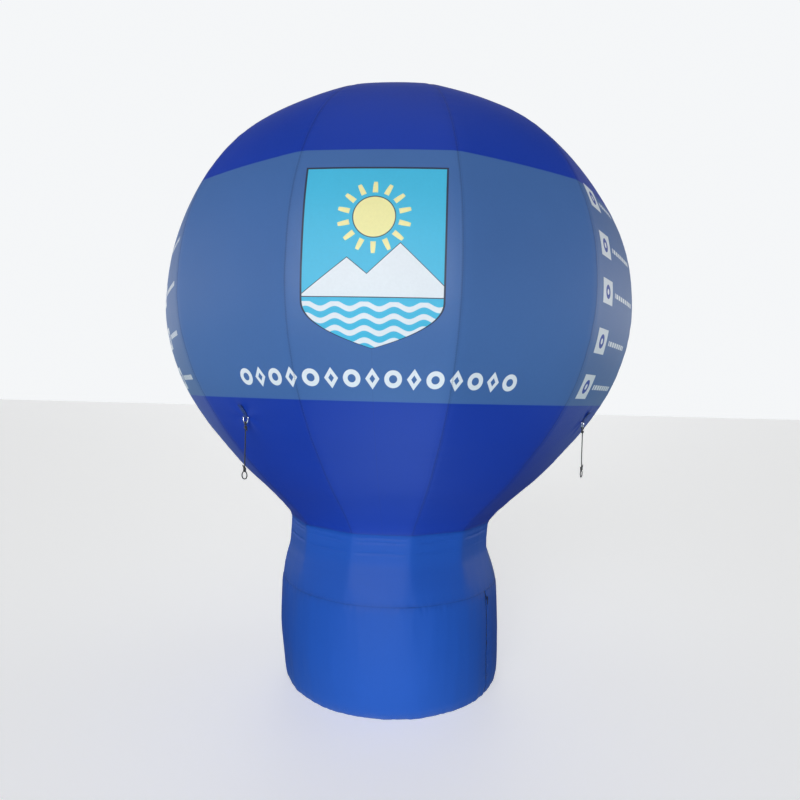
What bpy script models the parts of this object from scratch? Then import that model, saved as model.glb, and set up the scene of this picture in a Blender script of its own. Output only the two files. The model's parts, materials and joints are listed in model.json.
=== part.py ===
"""Cold-air advertising balloon: a globe of sewn gores over a neck and a fabric drum base.

Metres, +Z up, origin on the floor under the middle of the drum. The printed front faces -Y.
An azimuth is an angle in degrees from the front towards +X.
"""

import math

import bmesh
import bpy
from mathutils import Matrix, Vector

# Envelope
TOTAL_HEIGHT = 3.500
EQUATOR_HEIGHT = 2.244
GLOBE_RADIUS = 1.395
CROWN_RADIUS = 0.160
SKIN = 0.010
GORES = 12
FIRST_SEAM = -19.4
STRIPS_PER_GORE = 4
GLOBE_ROUNDNESS = 0.25
BAND_BOTTOM = 1.687
BAND_TOP = 2.745
GAP = 0.0003

# Height, radius at the seams, and roundness of the section: 0 is a flat-sided polygon, 1 a circle
DRUM_STATIONS = [
    (0.000, 0.653, 1.00),
    (0.080, 0.669, 1.00),
    (0.315, 0.682, 1.00),
    (0.530, 0.677, 0.90),
    (0.599, 0.670, 0.80),
]
NECK_STATIONS = [
    (0.599, 0.670, 0.80),
    (0.673, 0.659, 0.50),
    (0.740, 0.639, 0.30),
    (0.808, 0.623, 0.20),
    (0.920, 0.625, 0.15),
    (0.967, 0.632, 0.15),
]
LOWER_GLOBE_STATIONS = [
    (0.967, 0.632, 0.15),
    (1.020, 0.672, 0.15),
    (1.077, 0.727, 0.15),
    (1.150, 0.802, 0.18),
    (1.234, 0.892, 0.20),
    (1.320, 0.972, 0.22),
    (1.420, 1.056, 0.25),
    (1.530, 1.145, 0.25),
    (BAND_BOTTOM, 1.247, 0.25),
    (1.840, 1.320, 0.25),
    (2.040, 1.378, 0.25),
]
UPPER_GLOBE_LATITUDES = [0.0, 12.0, 23.5, 35.0, 46.0, 56.5, 66.5, 76.0]

# Zip closure in the drum wall
ZIP_AZIMUTH = 56.0
ZIP_WIDTH = 0.040
SLIDER_HEIGHT = 0.560
SLIDER_BODY = (0.012, 0.022, 0.005)
SLIDER_PULL = (0.008, 0.036, 0.002)

# Tie points: azimuth of each
TIE_AZIMUTHS = {"front_left": -37.3, "front_right": 60.5, "rear_right": 142.7, "rear_left": 240.5}
TIE_HEIGHT = 1.600
TIE_WIRE = 0.0025
TIE_BAR_STANDOFF = 0.008
RING_HALF_WIDTH = 0.017
RING_DROP = 0.032
RING_CORNER = 0.004
TAB_WIDTH = 0.024
TAB_LENGTH = 0.070
TAB_THICKNESS = 0.004
TAB_EYE = 0.007
TAB_HOLE = 0.003
TAB_FOLD = 0.002
TAB_LIFT = 0.0005
LINE_RADIUS = 0.003
LINE_LENGTH = 0.250
KNOT_RADIUS = 0.0075
KNOT_HALF_LENGTH = 0.011
HITCH_RADIUS = 0.0062
END_LOOP_RADIUS = 0.018

# Blower, on an axis along Y through the rear wall
BLOWER_HEIGHT = 0.270
INTAKE_RADIUS = 0.150
COLLAR_WALL = 0.010
COLLAR_FRONT = 0.700
COLLAR_LIP = (0.010, 0.010)
HOUSING_FRONT = 0.560
HOUSING_BACK = 0.420
HOUSING_RADIUS = 0.185
HOUSING_WALL = 0.005
HOUSING_EYE = 0.115
SHAFT_RADIUS = 0.009
SHAFT_HOLE = 0.012
IMPELLER_RADIUS = 0.160
IMPELLER_BACK = 0.435
IMPELLER_DEPTH = 0.105
IMPELLER_PLATE = 0.004
HUB_RADIUS = 0.030
HUB_NOSE = 0.080
VANES = 8
VANE_LENGTH = 0.085
VANE_CENTRE = 0.105
VANE_THICKNESS = 0.004
VANE_RAKE = 35.0
MOTOR_RADIUS = 0.070
MOTOR_LENGTH = 0.140
GUARD_FRONT = 0.692
GUARD_THICKNESS = 0.004
GUARD_SPOKES = 6
GUARD_SPOKE_WIDTH = 0.006
GUARD_RINGS = [(0.022, 0.056), (0.061, 0.091), (0.096, 0.128)]
CRADLE_BASE = (0.300, 0.150, 0.006)
CRADLE_ARM = (0.030, 0.120, 0.120)
CRADLE_ARM_OFFSET = 0.110

# Cable grommet
GROMMET_AZIMUTH = 163.0
GROMMET_HEIGHT = 0.060
GROMMET_RADIUS = 0.016
GROMMET_FLANGE = 0.022

for item in list(bpy.data.objects):
    bpy.data.objects.remove(item)

parts = bpy.data.collections.new("advertising_balloon")
helpers = bpy.data.collections.new("cutters")
bpy.context.scene.collection.children.link(parts)
bpy.context.scene.collection.children.link(helpers)


def finish(name, colour, roughness, metallic=0.0):
    material = bpy.data.materials.new(name)
    material.use_nodes = True
    shader = material.node_tree.nodes["Principled BSDF"]
    shader.inputs["Base Color"].default_value = (*colour, 1.0)
    shader.inputs["Roughness"].default_value = roughness
    shader.inputs["Metallic"].default_value = metallic
    return material


ROYAL = finish("royal_blue_polyester", (0.018, 0.070, 0.380), 0.55)
BAND = finish("printed_band", (0.065, 0.150, 0.380), 0.55)
DRUM_BLUE = finish("drum_polyester", (0.028, 0.095, 0.430), 0.55)
ZIP_NAVY = finish("zip_tape", (0.008, 0.020, 0.090), 0.60)
WEBBING = finish("blue_webbing", (0.020, 0.075, 0.360), 0.70)
CHROME = finish("chromed_wire", (0.800, 0.800, 0.820), 0.15, 1.0)
ROPE = finish("black_rope", (0.012, 0.012, 0.015), 0.80)
BLACK_PLASTIC = finish("black_plastic", (0.020, 0.020, 0.022), 0.45)
GREY_PLASTIC = finish("grey_plastic", (0.350, 0.360, 0.380), 0.50)
STEEL = finish("painted_steel", (0.120, 0.125, 0.130), 0.45, 0.4)
RUBBER = finish("rubber", (0.015, 0.015, 0.015), 0.75)


def add(name, mesh, materials, matrix=None, parent=None):
    """A named part at matrix, in its parent's frame where it has one."""
    part = bpy.data.objects.new(name, mesh)
    parts.objects.link(part)
    for material in materials:
        if material.name not in mesh.materials:
            mesh.materials.append(material)
    part.parent = parent
    part.matrix_basis = matrix or Matrix()
    return part


def as_helper(thing):
    for collection in list(thing.users_collection):
        collection.objects.unlink(thing)
    helpers.objects.link(thing)
    thing.hide_render = True
    thing.display_type = "WIRE"
    return thing


def helper(name, mesh, matrix=None, parent=None):
    thing = bpy.data.objects.new(name, mesh)
    thing.parent = parent
    thing.matrix_basis = matrix or Matrix()
    return as_helper(thing)


def combine(part, other, operation):
    boolean = part.modifiers.new(other.name, "BOOLEAN")
    boolean.operation = operation
    boolean.object = other


def meshed(thing, name):
    """The evaluated shape of a helper as a mesh of its own, with the helper removed."""
    bpy.context.view_layer.update()
    evaluated = thing.evaluated_get(bpy.context.evaluated_depsgraph_get())
    mesh = bpy.data.meshes.new_from_object(evaluated)
    mesh.name = name
    shape = bmesh.new()
    shape.from_mesh(mesh)
    bmesh.ops.remove_doubles(shape, verts=shape.verts, dist=1e-6)
    shape.to_mesh(mesh)
    shape.free()
    bpy.data.objects.remove(thing)
    return mesh


def primitive(name, make, scale=(1, 1, 1), matrix=None, **sizes):
    """A mesh from one of bmesh's primitives, scaled and then placed."""
    mesh = bpy.data.meshes.new(name)
    shape = bmesh.new()
    make(shape, **sizes)
    bmesh.ops.scale(shape, vec=scale, verts=shape.verts)
    shape.transform(matrix or Matrix())
    shape.to_mesh(mesh)
    shape.free()
    return mesh


def box_mesh(name, size, centre=(0, 0, 0)):
    return primitive(name, bmesh.ops.create_cube, size, Matrix.Translation(centre), size=1.0)


def rod_mesh(name, radius, length, segments, centre=(0, 0, 0)):
    return primitive(
        name, bmesh.ops.create_cone, (1, 1, 1), Matrix.Translation(centre),
        cap_ends=True, segments=segments, radius1=radius, radius2=radius, depth=length,
    )


def smooth(mesh, degrees=35):
    mesh.shade_smooth()
    mesh.set_sharp_from_angle(angle=math.radians(degrees))


def turned(name, profile, materials, parent, steps):
    """A profile of (radius, height) round the Z axis of its parent."""
    mesh = bpy.data.meshes.new(name)
    count = len(profile)
    points = [(radius, 0, height) for radius, height in profile]
    mesh.from_pydata(points, [(i, (i + 1) % count) for i in range(count)], [])
    part = add(name, mesh, materials, parent=parent)
    screw = part.modifiers.new("turn", "SCREW")
    screw.steps = screw.render_steps = steps
    screw.use_merge_vertices = True
    screw.merge_threshold = 0.0001
    screw.use_smooth_shade = True
    return part


# The envelope's profile, and points on its faceted surface


def latitude_station(degrees):
    angle = math.radians(degrees)
    height = EQUATOR_HEIGHT + (TOTAL_HEIGHT - EQUATOR_HEIGHT) * math.sin(angle)
    return height, GLOBE_RADIUS * math.cos(angle), GLOBE_ROUNDNESS


crown_latitude = math.degrees(math.acos(CROWN_RADIUS / GLOBE_RADIUS))
GORE_STATIONS = LOWER_GLOBE_STATIONS + [latitude_station(a) for a in UPPER_GLOBE_LATITUDES + [crown_latitude]]
PROFILE = DRUM_STATIONS[:-1] + NECK_STATIONS[:-1] + GORE_STATIONS
GORE_STEP = 360.0 / GORES
STRIP = GORE_STEP / STRIPS_PER_GORE


def inward(station):
    """The direction into the envelope at one of its stations, as (radius, height)."""
    index = PROFILE.index(station)
    if index == 0:
        return -1.0, 0.0
    below = PROFILE[index - 1]
    above = PROFILE[min(index + 1, len(PROFILE) - 1)]
    rise, spread = above[0] - below[0], above[1] - below[1]
    length = math.hypot(rise, spread)
    return -rise / length, spread / length


def section_radius(azimuth, seam_radius, roundness):
    offset = math.radians((azimuth - FIRST_SEAM) % GORE_STEP - GORE_STEP / 2)
    flat = math.cos(math.radians(GORE_STEP / 2)) / math.cos(offset)
    return seam_radius * ((1 - roundness) * flat + roundness)


def at_azimuth(azimuth, radius, height):
    angle = math.radians(azimuth)
    return Vector((radius * math.sin(angle), -radius * math.cos(angle), height))


def wall_row(station, towards, azimuths, inset):
    """Outer and inner points along one station, moved GAP / 2 towards another one."""
    height, radius, roundness = station
    into_radius, into_height = inward(station)
    length = math.hypot(towards[0] - height, towards[1] - radius)
    share = 0.5 * GAP / length if inset else 0.0
    height += share * (towards[0] - height)
    radius += share * (towards[1] - radius)
    row = []
    for azimuth in azimuths:
        outer = section_radius(azimuth, radius, roundness)
        inner = outer + SKIN * into_radius
        row.append((at_azimuth(azimuth, outer, height), at_azimuth(azimuth, inner, height + SKIN * into_height)))
    return row


def strip_azimuths(start, end, radius):
    """Azimuths of the strip edges from start to end, which keep GAP / 2 to the neighbours."""
    if end - start >= 360:
        return [FIRST_SEAM + STRIP * i for i in range(GORES * STRIPS_PER_GORE)]
    half_gap = math.degrees(0.5 * GAP / radius)
    first = math.ceil((start - FIRST_SEAM) / STRIP + 0.05)
    last = math.floor((end - FIRST_SEAM) / STRIP - 0.05)
    inside = [FIRST_SEAM + STRIP * i for i in range(first, last + 1)]
    return [start + half_gap, *inside, end - half_gap]


def wall_mesh(name, stations, start, end):
    """A closed wall, SKIN thick, along stations from one azimuth to another."""
    ring = end - start >= 360
    shape = bmesh.new()
    grid = []
    for index, station in enumerate(stations):
        at_end = index in (0, len(stations) - 1) and station is not PROFILE[0]
        towards = stations[index + 1] if index == 0 else stations[index - 1]
        row = wall_row(station, towards, strip_azimuths(start, end, station[1]), at_end)
        grid.append([(shape.verts.new(outer), shape.verts.new(inner)) for outer, inner in row])
    columns = len(grid[0])
    edges = [(i, (i + 1) % columns) for i in range(columns if ring else columns - 1)]
    for below, above in zip(grid, grid[1:]):
        for side in (0, 1):
            for i, j in edges:
                shape.faces.new((below[i][side], below[j][side], above[j][side], above[i][side]))
        for i in () if ring else (0, columns - 1):
            shape.faces.new((below[i][0], above[i][0], above[i][1], below[i][1]))
    for row in (grid[0], grid[-1]):
        for i, j in edges:
            shape.faces.new((row[i][0], row[j][0], row[j][1], row[i][1]))
    bmesh.ops.recalc_face_normals(shape, faces=shape.faces)
    mesh = bpy.data.meshes.new(name)
    shape.to_mesh(mesh)
    shape.free()
    smooth(mesh, 12)
    return mesh


def lid_mesh(name, station, rise, levels, azimuths):
    """A polygonal lid inside a station's inner edge, at two levels there, its middle higher by rise."""
    into_radius, _ = inward(station)
    height, radius, roundness = station
    shape = bmesh.new()
    rims = []
    for level in levels:
        rim = []
        for azimuth in azimuths:
            reach = section_radius(azimuth, radius, roundness) + SKIN * into_radius - GAP
            rim.append(shape.verts.new(at_azimuth(azimuth, reach, height + level)))
        middle = shape.verts.new((0, 0, height + level + rise))
        for i, vert in enumerate(rim):
            shape.faces.new((vert, rim[i - 1], middle))
        rims.append(rim)
    for i in range(len(azimuths)):
        shape.faces.new((rims[0][i], rims[0][i - 1], rims[1][i - 1], rims[1][i]))
    bmesh.ops.recalc_face_normals(shape, faces=shape.faces)
    mesh = bpy.data.meshes.new(name)
    shape.to_mesh(mesh)
    shape.free()
    return mesh


def skin_point(azimuth, height):
    """The point of the envelope's outer face at an azimuth and a height, on the chord of its strip."""
    for low, high in zip(PROFILE, PROFILE[1:]):
        if low[0] <= height <= high[0]:
            share = (height - low[0]) / (high[0] - low[0])
            break
    strip = math.floor((azimuth - FIRST_SEAM) / STRIP)
    left, right = FIRST_SEAM + STRIP * strip, FIRST_SEAM + STRIP * (strip + 1)
    reach = []
    for edge in (left, right):
        radii = [section_radius(edge, station[1], station[2]) for station in (low, high)]
        reach.append(radii[0] + share * (radii[1] - radii[0]))
    from_left, from_right = math.radians(azimuth - left), math.radians(right - azimuth)
    chord = reach[0] * reach[1] * math.sin(math.radians(STRIP))
    radius = chord / (reach[0] * math.sin(from_left) + reach[1] * math.sin(from_right))
    return at_azimuth(azimuth, radius, height)


def skin_frame(azimuth, height):
    """Along the skin sideways, up the skin and out of it, and the point itself."""
    step = 0.2
    point = skin_point(azimuth, height)
    sideways = (skin_point(azimuth + step, height) - skin_point(azimuth - step, height)).normalized()
    up = (skin_point(azimuth, height + 0.01) - point).normalized()
    out = sideways.cross(up).normalized()
    return sideways, out.cross(sideways).normalized(), out, point


def placed(x_axis, y_axis, z_axis, point):
    matrix = Matrix((x_axis, y_axis, z_axis)).transposed().to_4x4()
    matrix.translation = point
    return matrix


# Twelve gores, with the printed band between two of their stations


def paint_band(mesh):
    """The second material on the faces between the band's edges."""
    for face in mesh.polygons:
        if BAND_BOTTOM < face.center.z < BAND_TOP:
            face.material_index = 1


for number in range(GORES):
    start = FIRST_SEAM + GORE_STEP * number
    gore = wall_mesh(f"gore_{number + 1:02d}", GORE_STATIONS, start, start + GORE_STEP)
    add(gore.name, gore, [ROYAL, BAND])
    paint_band(gore)

# Crown patch in the hole that the gores leave

seam_azimuths = [FIRST_SEAM + STRIP * i for i in range(GORES * STRIPS_PER_GORE)]
crown_edge = GORE_STATIONS[-1]
crown = lid_mesh("crown_patch", crown_edge, TOTAL_HEIGHT - crown_edge[0], (-SKIN, 0), seam_azimuths)
add("crown_patch", crown, [ROYAL])

# Neck skirt, drum wall and floor, with the zip closure in the wall's front right

zip_half = math.degrees(0.5 * ZIP_WIDTH / DRUM_STATIONS[2][1])
add("neck_skirt", wall_mesh("neck_skirt", NECK_STATIONS, 0, 360), [DRUM_BLUE])
wall = wall_mesh("drum_wall", DRUM_STATIONS, ZIP_AZIMUTH + zip_half, ZIP_AZIMUTH - zip_half + 360)
drum_wall = add("drum_wall", wall, [DRUM_BLUE])
closure = wall_mesh("zip_closure", DRUM_STATIONS, ZIP_AZIMUTH - zip_half, ZIP_AZIMUTH + zip_half)
add("zip_closure", closure, [ZIP_NAVY])
add("drum_floor", lid_mesh("drum_floor", DRUM_STATIONS[0], 0, (0, SKIN), seam_azimuths), [DRUM_BLUE])

# Zip slider: a body on the closure's face and its pull hanging below it

sideways, up, out, point = skin_frame(ZIP_AZIMUTH, SLIDER_HEIGHT)
slider = add(
    "zip_slider",
    box_mesh("zip_slider", SLIDER_BODY, (0, 0, 0.5 * SLIDER_BODY[2])),
    [CHROME],
    placed(sideways, up, out, point + 2 * GAP * out),
)
pull_centre = (0, -0.5 * SLIDER_PULL[1], SLIDER_BODY[2] - 0.5 * SLIDER_PULL[2] - GAP)
combine(slider, helper("slider_pull", box_mesh("slider_pull", SLIDER_PULL, pull_centre), parent=slider), "UNION")

# Tie points: a tab sewn to the skin, a D-ring in its eye and a guy line on the ring


def arc_points(radius, start, end, steps):
    angles = [start + (end - start) * i / steps for i in range(steps + 1)]
    return [(radius * math.cos(a), radius * math.sin(a)) for a in angles]


def tab_mesh():
    """The tab's side view, in its up and out directions, with the eye round the ring's bar at the origin."""
    bottom = TAB_LIFT - TIE_BAR_STANDOFF
    top = bottom + TAB_THICKNESS
    outline = [(TAB_LENGTH, bottom), (TAB_LENGTH, top), (TAB_EYE, top)]
    outline += arc_points(TAB_EYE, 0, 1.5 * math.pi, 10)
    outline.append((TAB_FOLD, bottom))
    hole = arc_points(TAB_HOLE, 0, math.tau, 12)[:-1]
    curve = bpy.data.curves.new("tie_tab", "CURVE")
    curve.dimensions = "2D"
    curve.fill_mode = "BOTH"
    curve.extrude = 0.5 * TAB_WIDTH
    for points in (outline, hole):
        spline = curve.splines.new("POLY")
        spline.points.add(len(points) - 1)
        for target, (x, y) in zip(spline.points, points):
            target.co = (x, y, 0, 1)
        spline.use_cyclic_u = True
    return meshed(helper("tab_outline", curve), "tie_tab")


def ring_mesh():
    """A D of round wire: a bar along X through the origin, and a bow below it."""
    drop = RING_DROP - RING_CORNER
    inner = RING_HALF_WIDTH - RING_CORNER
    points = [(-inner, 0.0), (inner, 0.0)]
    points += [(inner + RING_CORNER * math.sin(a), RING_CORNER * (math.cos(a) - 1)) for a in (math.pi / 4, math.pi / 2)]
    for i in range(1, 12):
        angle = math.pi * i / 12
        points.append((RING_HALF_WIDTH * math.cos(angle), -RING_CORNER - drop * math.sin(angle)))
    points += [(-inner - RING_CORNER * math.sin(a), RING_CORNER * (math.cos(a) - 1)) for a in (math.pi / 2, math.pi / 4)]
    curve = bpy.data.curves.new("tie_ring", "CURVE")
    curve.dimensions = "3D"
    curve.bevel_depth = TIE_WIRE
    curve.bevel_resolution = 2
    spline = curve.splines.new("POLY")
    spline.points.add(len(points) - 1)
    for target, (x, z) in zip(spline.points, points):
        target.co = (x, 0, z, 1)
    spline.use_cyclic_u = True
    mesh = meshed(helper("ring_wire", curve), "tie_ring")
    smooth(mesh)
    return mesh


def torus(name, radius, wire, matrix):
    bpy.ops.mesh.primitive_torus_add(
        major_radius=radius, minor_radius=wire, major_segments=14, minor_segments=6
    )
    thing = bpy.context.object
    thing.name = name
    thing.data.transform(matrix)
    return as_helper(thing)


def guy_line_mesh():
    """A line hitched round the ring's bow, straight down, with a knotted loop at its end."""
    knot = -RING_DROP - HITCH_RADIUS - KNOT_HALF_LENGTH + 0.002
    line = helper("line", rod_mesh("line", LINE_RADIUS, LINE_LENGTH + knot, 10, (0, 0, 0.5 * (knot - LINE_LENGTH))))
    pieces = [torus("hitch", HITCH_RADIUS, LINE_RADIUS, Matrix.Translation((0, 0, -RING_DROP)) @ Matrix.Rotation(math.pi / 2, 4, "Y"))]
    for height in (knot, -LINE_LENGTH):
        mesh = primitive(
            "knot", bmesh.ops.create_uvsphere, (1, 1, KNOT_HALF_LENGTH / KNOT_RADIUS),
            Matrix.Translation((0, 0, height)), u_segments=10, v_segments=6, radius=KNOT_RADIUS,
        )
        pieces.append(helper("knot", mesh))
    below = -LINE_LENGTH - KNOT_HALF_LENGTH - END_LOOP_RADIUS + 0.001
    pieces.append(torus("end_loop", END_LOOP_RADIUS, LINE_RADIUS, Matrix.Translation((0, 0, below)) @ Matrix.Rotation(math.pi / 2, 4, "X")))
    for piece in pieces:
        combine(line, piece, "UNION")
    mesh = meshed(line, "guy_line")
    for piece in pieces:
        bpy.data.objects.remove(piece)
    smooth(mesh)
    return mesh


tab, ring, guy_line = tab_mesh(), ring_mesh(), guy_line_mesh()
for place, azimuth in TIE_AZIMUTHS.items():
    sideways, up, out, point = skin_frame(azimuth, TIE_HEIGHT)
    bar = point + TIE_BAR_STANDOFF * out
    add(f"tie_tab_{place}", tab, [WEBBING], placed(up, out, sideways, bar))
    pivot = bpy.data.objects.new(f"ring_pivot_{place}", None)
    parts.objects.link(pivot)
    pivot.empty_display_size = 0.03
    pivot.matrix_basis = placed(sideways, Vector((0, 0, 1)).cross(sideways), Vector((0, 0, 1)), bar)
    add(f"tie_ring_{place}", ring, [CHROME], parent=pivot)
    add(f"guy_line_{place}", guy_line, [ROPE], parent=pivot)

# Blower behind the rear wall, built round an empty whose Z axis is the impeller's axis

blower_axis = bpy.data.objects.new("blower_axis", None)
parts.objects.link(blower_axis)
blower_axis.location = (0, 0, BLOWER_HEIGHT)
blower_axis.rotation_euler = (-math.pi / 2, 0, 0)

collar_inner = INTAKE_RADIUS - COLLAR_WALL
collar_profile = [
    (INTAKE_RADIUS + COLLAR_LIP[0], COLLAR_FRONT),
    (INTAKE_RADIUS + COLLAR_LIP[0], COLLAR_FRONT - COLLAR_LIP[1]),
    (INTAKE_RADIUS - GAP, COLLAR_FRONT - COLLAR_LIP[1]),
    (INTAKE_RADIUS - GAP, HOUSING_FRONT + GAP),
    (collar_inner, HOUSING_FRONT + GAP),
    (collar_inner, COLLAR_FRONT),
]
turned("intake_collar", collar_profile, [BLACK_PLASTIC], blower_axis, 40)
cut = rod_mesh("intake_hole", INTAKE_RADIUS, 0.3, 40, (0, 0, COLLAR_FRONT))
combine(drum_wall, helper("intake_hole", cut, parent=blower_axis), "DIFFERENCE")

housing_inner = HOUSING_RADIUS - HOUSING_WALL
housing_profile = [
    (HOUSING_RADIUS, HOUSING_FRONT),
    (HOUSING_RADIUS, HOUSING_BACK),
    (SHAFT_HOLE, HOUSING_BACK),
    (SHAFT_HOLE, HOUSING_BACK + HOUSING_WALL),
    (housing_inner, HOUSING_BACK + HOUSING_WALL),
    (housing_inner, HOUSING_FRONT - HOUSING_WALL),
    (HOUSING_EYE, HOUSING_FRONT - HOUSING_WALL),
    (HOUSING_EYE, HOUSING_FRONT),
]
turned("blower_housing", housing_profile, [BLACK_PLASTIC], blower_axis, 32)

motor_centre = (0, 0, HOUSING_BACK - GAP - 0.5 * MOTOR_LENGTH)
motor = rod_mesh("blower_motor", MOTOR_RADIUS, MOTOR_LENGTH, 24, motor_centre)
add("blower_motor", motor, [STEEL], parent=blower_axis)

impeller_profile = [
    (0.0, IMPELLER_BACK + HUB_NOSE),
    (0.6 * HUB_RADIUS, IMPELLER_BACK + 0.94 * HUB_NOSE),
    (HUB_RADIUS, IMPELLER_BACK + 0.70 * HUB_NOSE),
    (HUB_RADIUS, IMPELLER_BACK + IMPELLER_PLATE),
    (IMPELLER_RADIUS, IMPELLER_BACK + IMPELLER_PLATE),
    (IMPELLER_RADIUS, IMPELLER_BACK),
    (SHAFT_RADIUS, IMPELLER_BACK),
    (SHAFT_RADIUS, HOUSING_BACK),
    (0.0, HOUSING_BACK),
]
impeller = turned("blower_impeller", impeller_profile, [GREY_PLASTIC], blower_axis, 32)
vanes = bpy.data.meshes.new("impeller_vanes")
shape = bmesh.new()
for i in range(VANES):
    vane = bmesh.ops.create_cube(shape, size=1.0)["verts"]
    bmesh.ops.scale(shape, vec=(VANE_LENGTH, VANE_THICKNESS, IMPELLER_DEPTH - IMPELLER_PLATE), verts=vane)
    turn = Matrix.Rotation(math.tau * i / VANES, 4, "Z")
    seat = Matrix.Translation((VANE_CENTRE, 0, IMPELLER_BACK + 0.5 * IMPELLER_DEPTH))
    bmesh.ops.transform(shape, matrix=turn @ seat @ Matrix.Rotation(math.radians(VANE_RAKE), 4, "Z"), verts=vane)
shape.to_mesh(vanes)
shape.free()
combine(impeller, helper("impeller_vanes", vanes, parent=blower_axis), "UNION")

# Guard: a flat grille of rings and spokes inside the collar

grille = bpy.data.curves.new("intake_guard", "CURVE")
grille.dimensions = "2D"
grille.fill_mode = "BOTH"
grille.extrude = 0.5 * GUARD_THICKNESS
outlines = [arc_points(collar_inner - 2 * GAP, 0, math.tau, 40)[:-1]]
spoke_half = 0.5 * GUARD_SPOKE_WIDTH
for inner, outer in GUARD_RINGS:
    for i in range(GUARD_SPOKES):
        start, end = math.tau * i / GUARD_SPOKES, math.tau * (i + 1) / GUARD_SPOKES
        slot = arc_points(outer, start + spoke_half / outer, end - spoke_half / outer, 5)
        slot += arc_points(inner, end - spoke_half / inner, start + spoke_half / inner, 5)
        outlines.append(slot)
for points in outlines:
    spline = grille.splines.new("POLY")
    spline.points.add(len(points) - 1)
    for target, (x, y) in zip(spline.points, points):
        target.co = (x, y, 0, 1)
    spline.use_cyclic_u = True
guard = meshed(helper("guard_outline", grille), "intake_guard")
add("intake_guard", guard, [STEEL], Matrix.Translation((0, 0, GUARD_FRONT - 0.5 * GUARD_THICKNESS)), blower_axis)

# Cradle: a plate on the drum's floor and two saddles that the housing lies in

cradle_top = SKIN + GAP + CRADLE_BASE[2]
housing_middle = 0.5 * (HOUSING_FRONT + HOUSING_BACK)
cradle = add(
    "blower_cradle",
    box_mesh("blower_cradle", CRADLE_BASE, (0, housing_middle, cradle_top - 0.5 * CRADLE_BASE[2])),
    [STEEL],
)
saddle_cut = rod_mesh("saddle_cut", HOUSING_RADIUS + GAP, 0.4, 32, (0, 0, housing_middle))
for side in (-1, 1):
    centre = (side * CRADLE_ARM_OFFSET, housing_middle, cradle_top + 0.5 * CRADLE_ARM[2] - 0.001)
    combine(cradle, helper("cradle_arm", box_mesh("cradle_arm", CRADLE_ARM, centre)), "UNION")
combine(cradle, helper("saddle_cut", saddle_cut, parent=blower_axis), "DIFFERENCE")

# Grommet: a rubber plug through the wall, with a flange outside

sideways, up, out, point = skin_frame(GROMMET_AZIMUTH, GROMMET_HEIGHT)
seat = placed(sideways, up, out, point)
grommet = add("cable_grommet", rod_mesh("cable_grommet", GROMMET_RADIUS - GAP, 0.030, 16, (0, 0, -0.007)), [RUBBER], seat)
flange = rod_mesh("flange", GROMMET_FLANGE, 0.004, 16, (0, 0, 0.004))
combine(grommet, helper("grommet_flange", flange, parent=grommet), "UNION")
hole = rod_mesh("grommet_hole", GROMMET_RADIUS, 0.08, 16)
combine(drum_wall, helper("grommet_hole", hole, seat), "DIFFERENCE")
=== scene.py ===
"""Looks of a cold-air advertising balloon: sewn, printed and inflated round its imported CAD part.

Metres, +Z up, the printed front faces -Y. An azimuth is an angle in degrees from the front towards +X.
"""

import json
import math

import bmesh
import bpy
from mathutils import Matrix, Vector
from mathutils.bvhtree import BVHTree


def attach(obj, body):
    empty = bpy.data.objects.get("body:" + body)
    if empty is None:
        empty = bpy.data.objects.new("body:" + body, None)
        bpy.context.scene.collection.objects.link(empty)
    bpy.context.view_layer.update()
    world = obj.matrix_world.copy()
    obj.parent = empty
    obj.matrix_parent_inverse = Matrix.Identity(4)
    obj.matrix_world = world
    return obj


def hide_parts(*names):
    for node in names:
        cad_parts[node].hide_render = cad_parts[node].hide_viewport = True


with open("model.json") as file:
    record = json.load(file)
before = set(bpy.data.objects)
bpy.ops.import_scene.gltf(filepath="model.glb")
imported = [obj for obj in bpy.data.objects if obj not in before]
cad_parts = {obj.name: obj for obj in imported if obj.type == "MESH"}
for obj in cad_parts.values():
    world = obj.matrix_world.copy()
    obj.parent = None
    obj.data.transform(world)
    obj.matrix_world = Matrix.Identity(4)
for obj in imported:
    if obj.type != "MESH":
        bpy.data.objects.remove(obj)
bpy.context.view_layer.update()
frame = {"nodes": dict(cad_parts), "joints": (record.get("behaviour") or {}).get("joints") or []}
scene = bpy.context.scene
TO_RADIANS, TO_DEGREES = math.pi / 180, 180 / math.pi

# Camera
# The picture is taken standing up close to the balloon, with a phone held nearly level at eye
# height. The numbers are a perspective fit of the balloon's seams and outline.

EYE = Vector((0.0, -3.631, 1.721))
PITCH, YAW, ROLL = (math.radians(a) for a in (-0.574, 0.509, 1.496))
PICTURE_SIDE, FOCAL_PIXELS, SENSOR = 800, 566.9, 36.0

forward = Vector((math.sin(YAW) * math.cos(PITCH), math.cos(YAW) * math.cos(PITCH), math.sin(PITCH)))
level = Vector((math.cos(YAW), -math.sin(YAW), 0.0))
upward = level.cross(forward)
right = math.cos(ROLL) * level + math.sin(ROLL) * upward
above = math.cos(ROLL) * upward - math.sin(ROLL) * level
camera = bpy.data.objects.new("camera", bpy.data.cameras.new("camera"))
camera.data.sensor_width = SENSOR
camera.data.lens = FOCAL_PIXELS / PICTURE_SIDE * SENSOR
camera.matrix_world = Matrix.Translation(EYE) @ Matrix((right, above, -forward)).transposed().to_4x4()
scene.collection.objects.link(camera)
scene.camera = camera

# Cloth and its print
# Coated polyester, woven fine and printed before it is cut to gores: a royal blue ground with a
# paler band round the globe, on which the same print comes back every 120 degrees.


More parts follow.
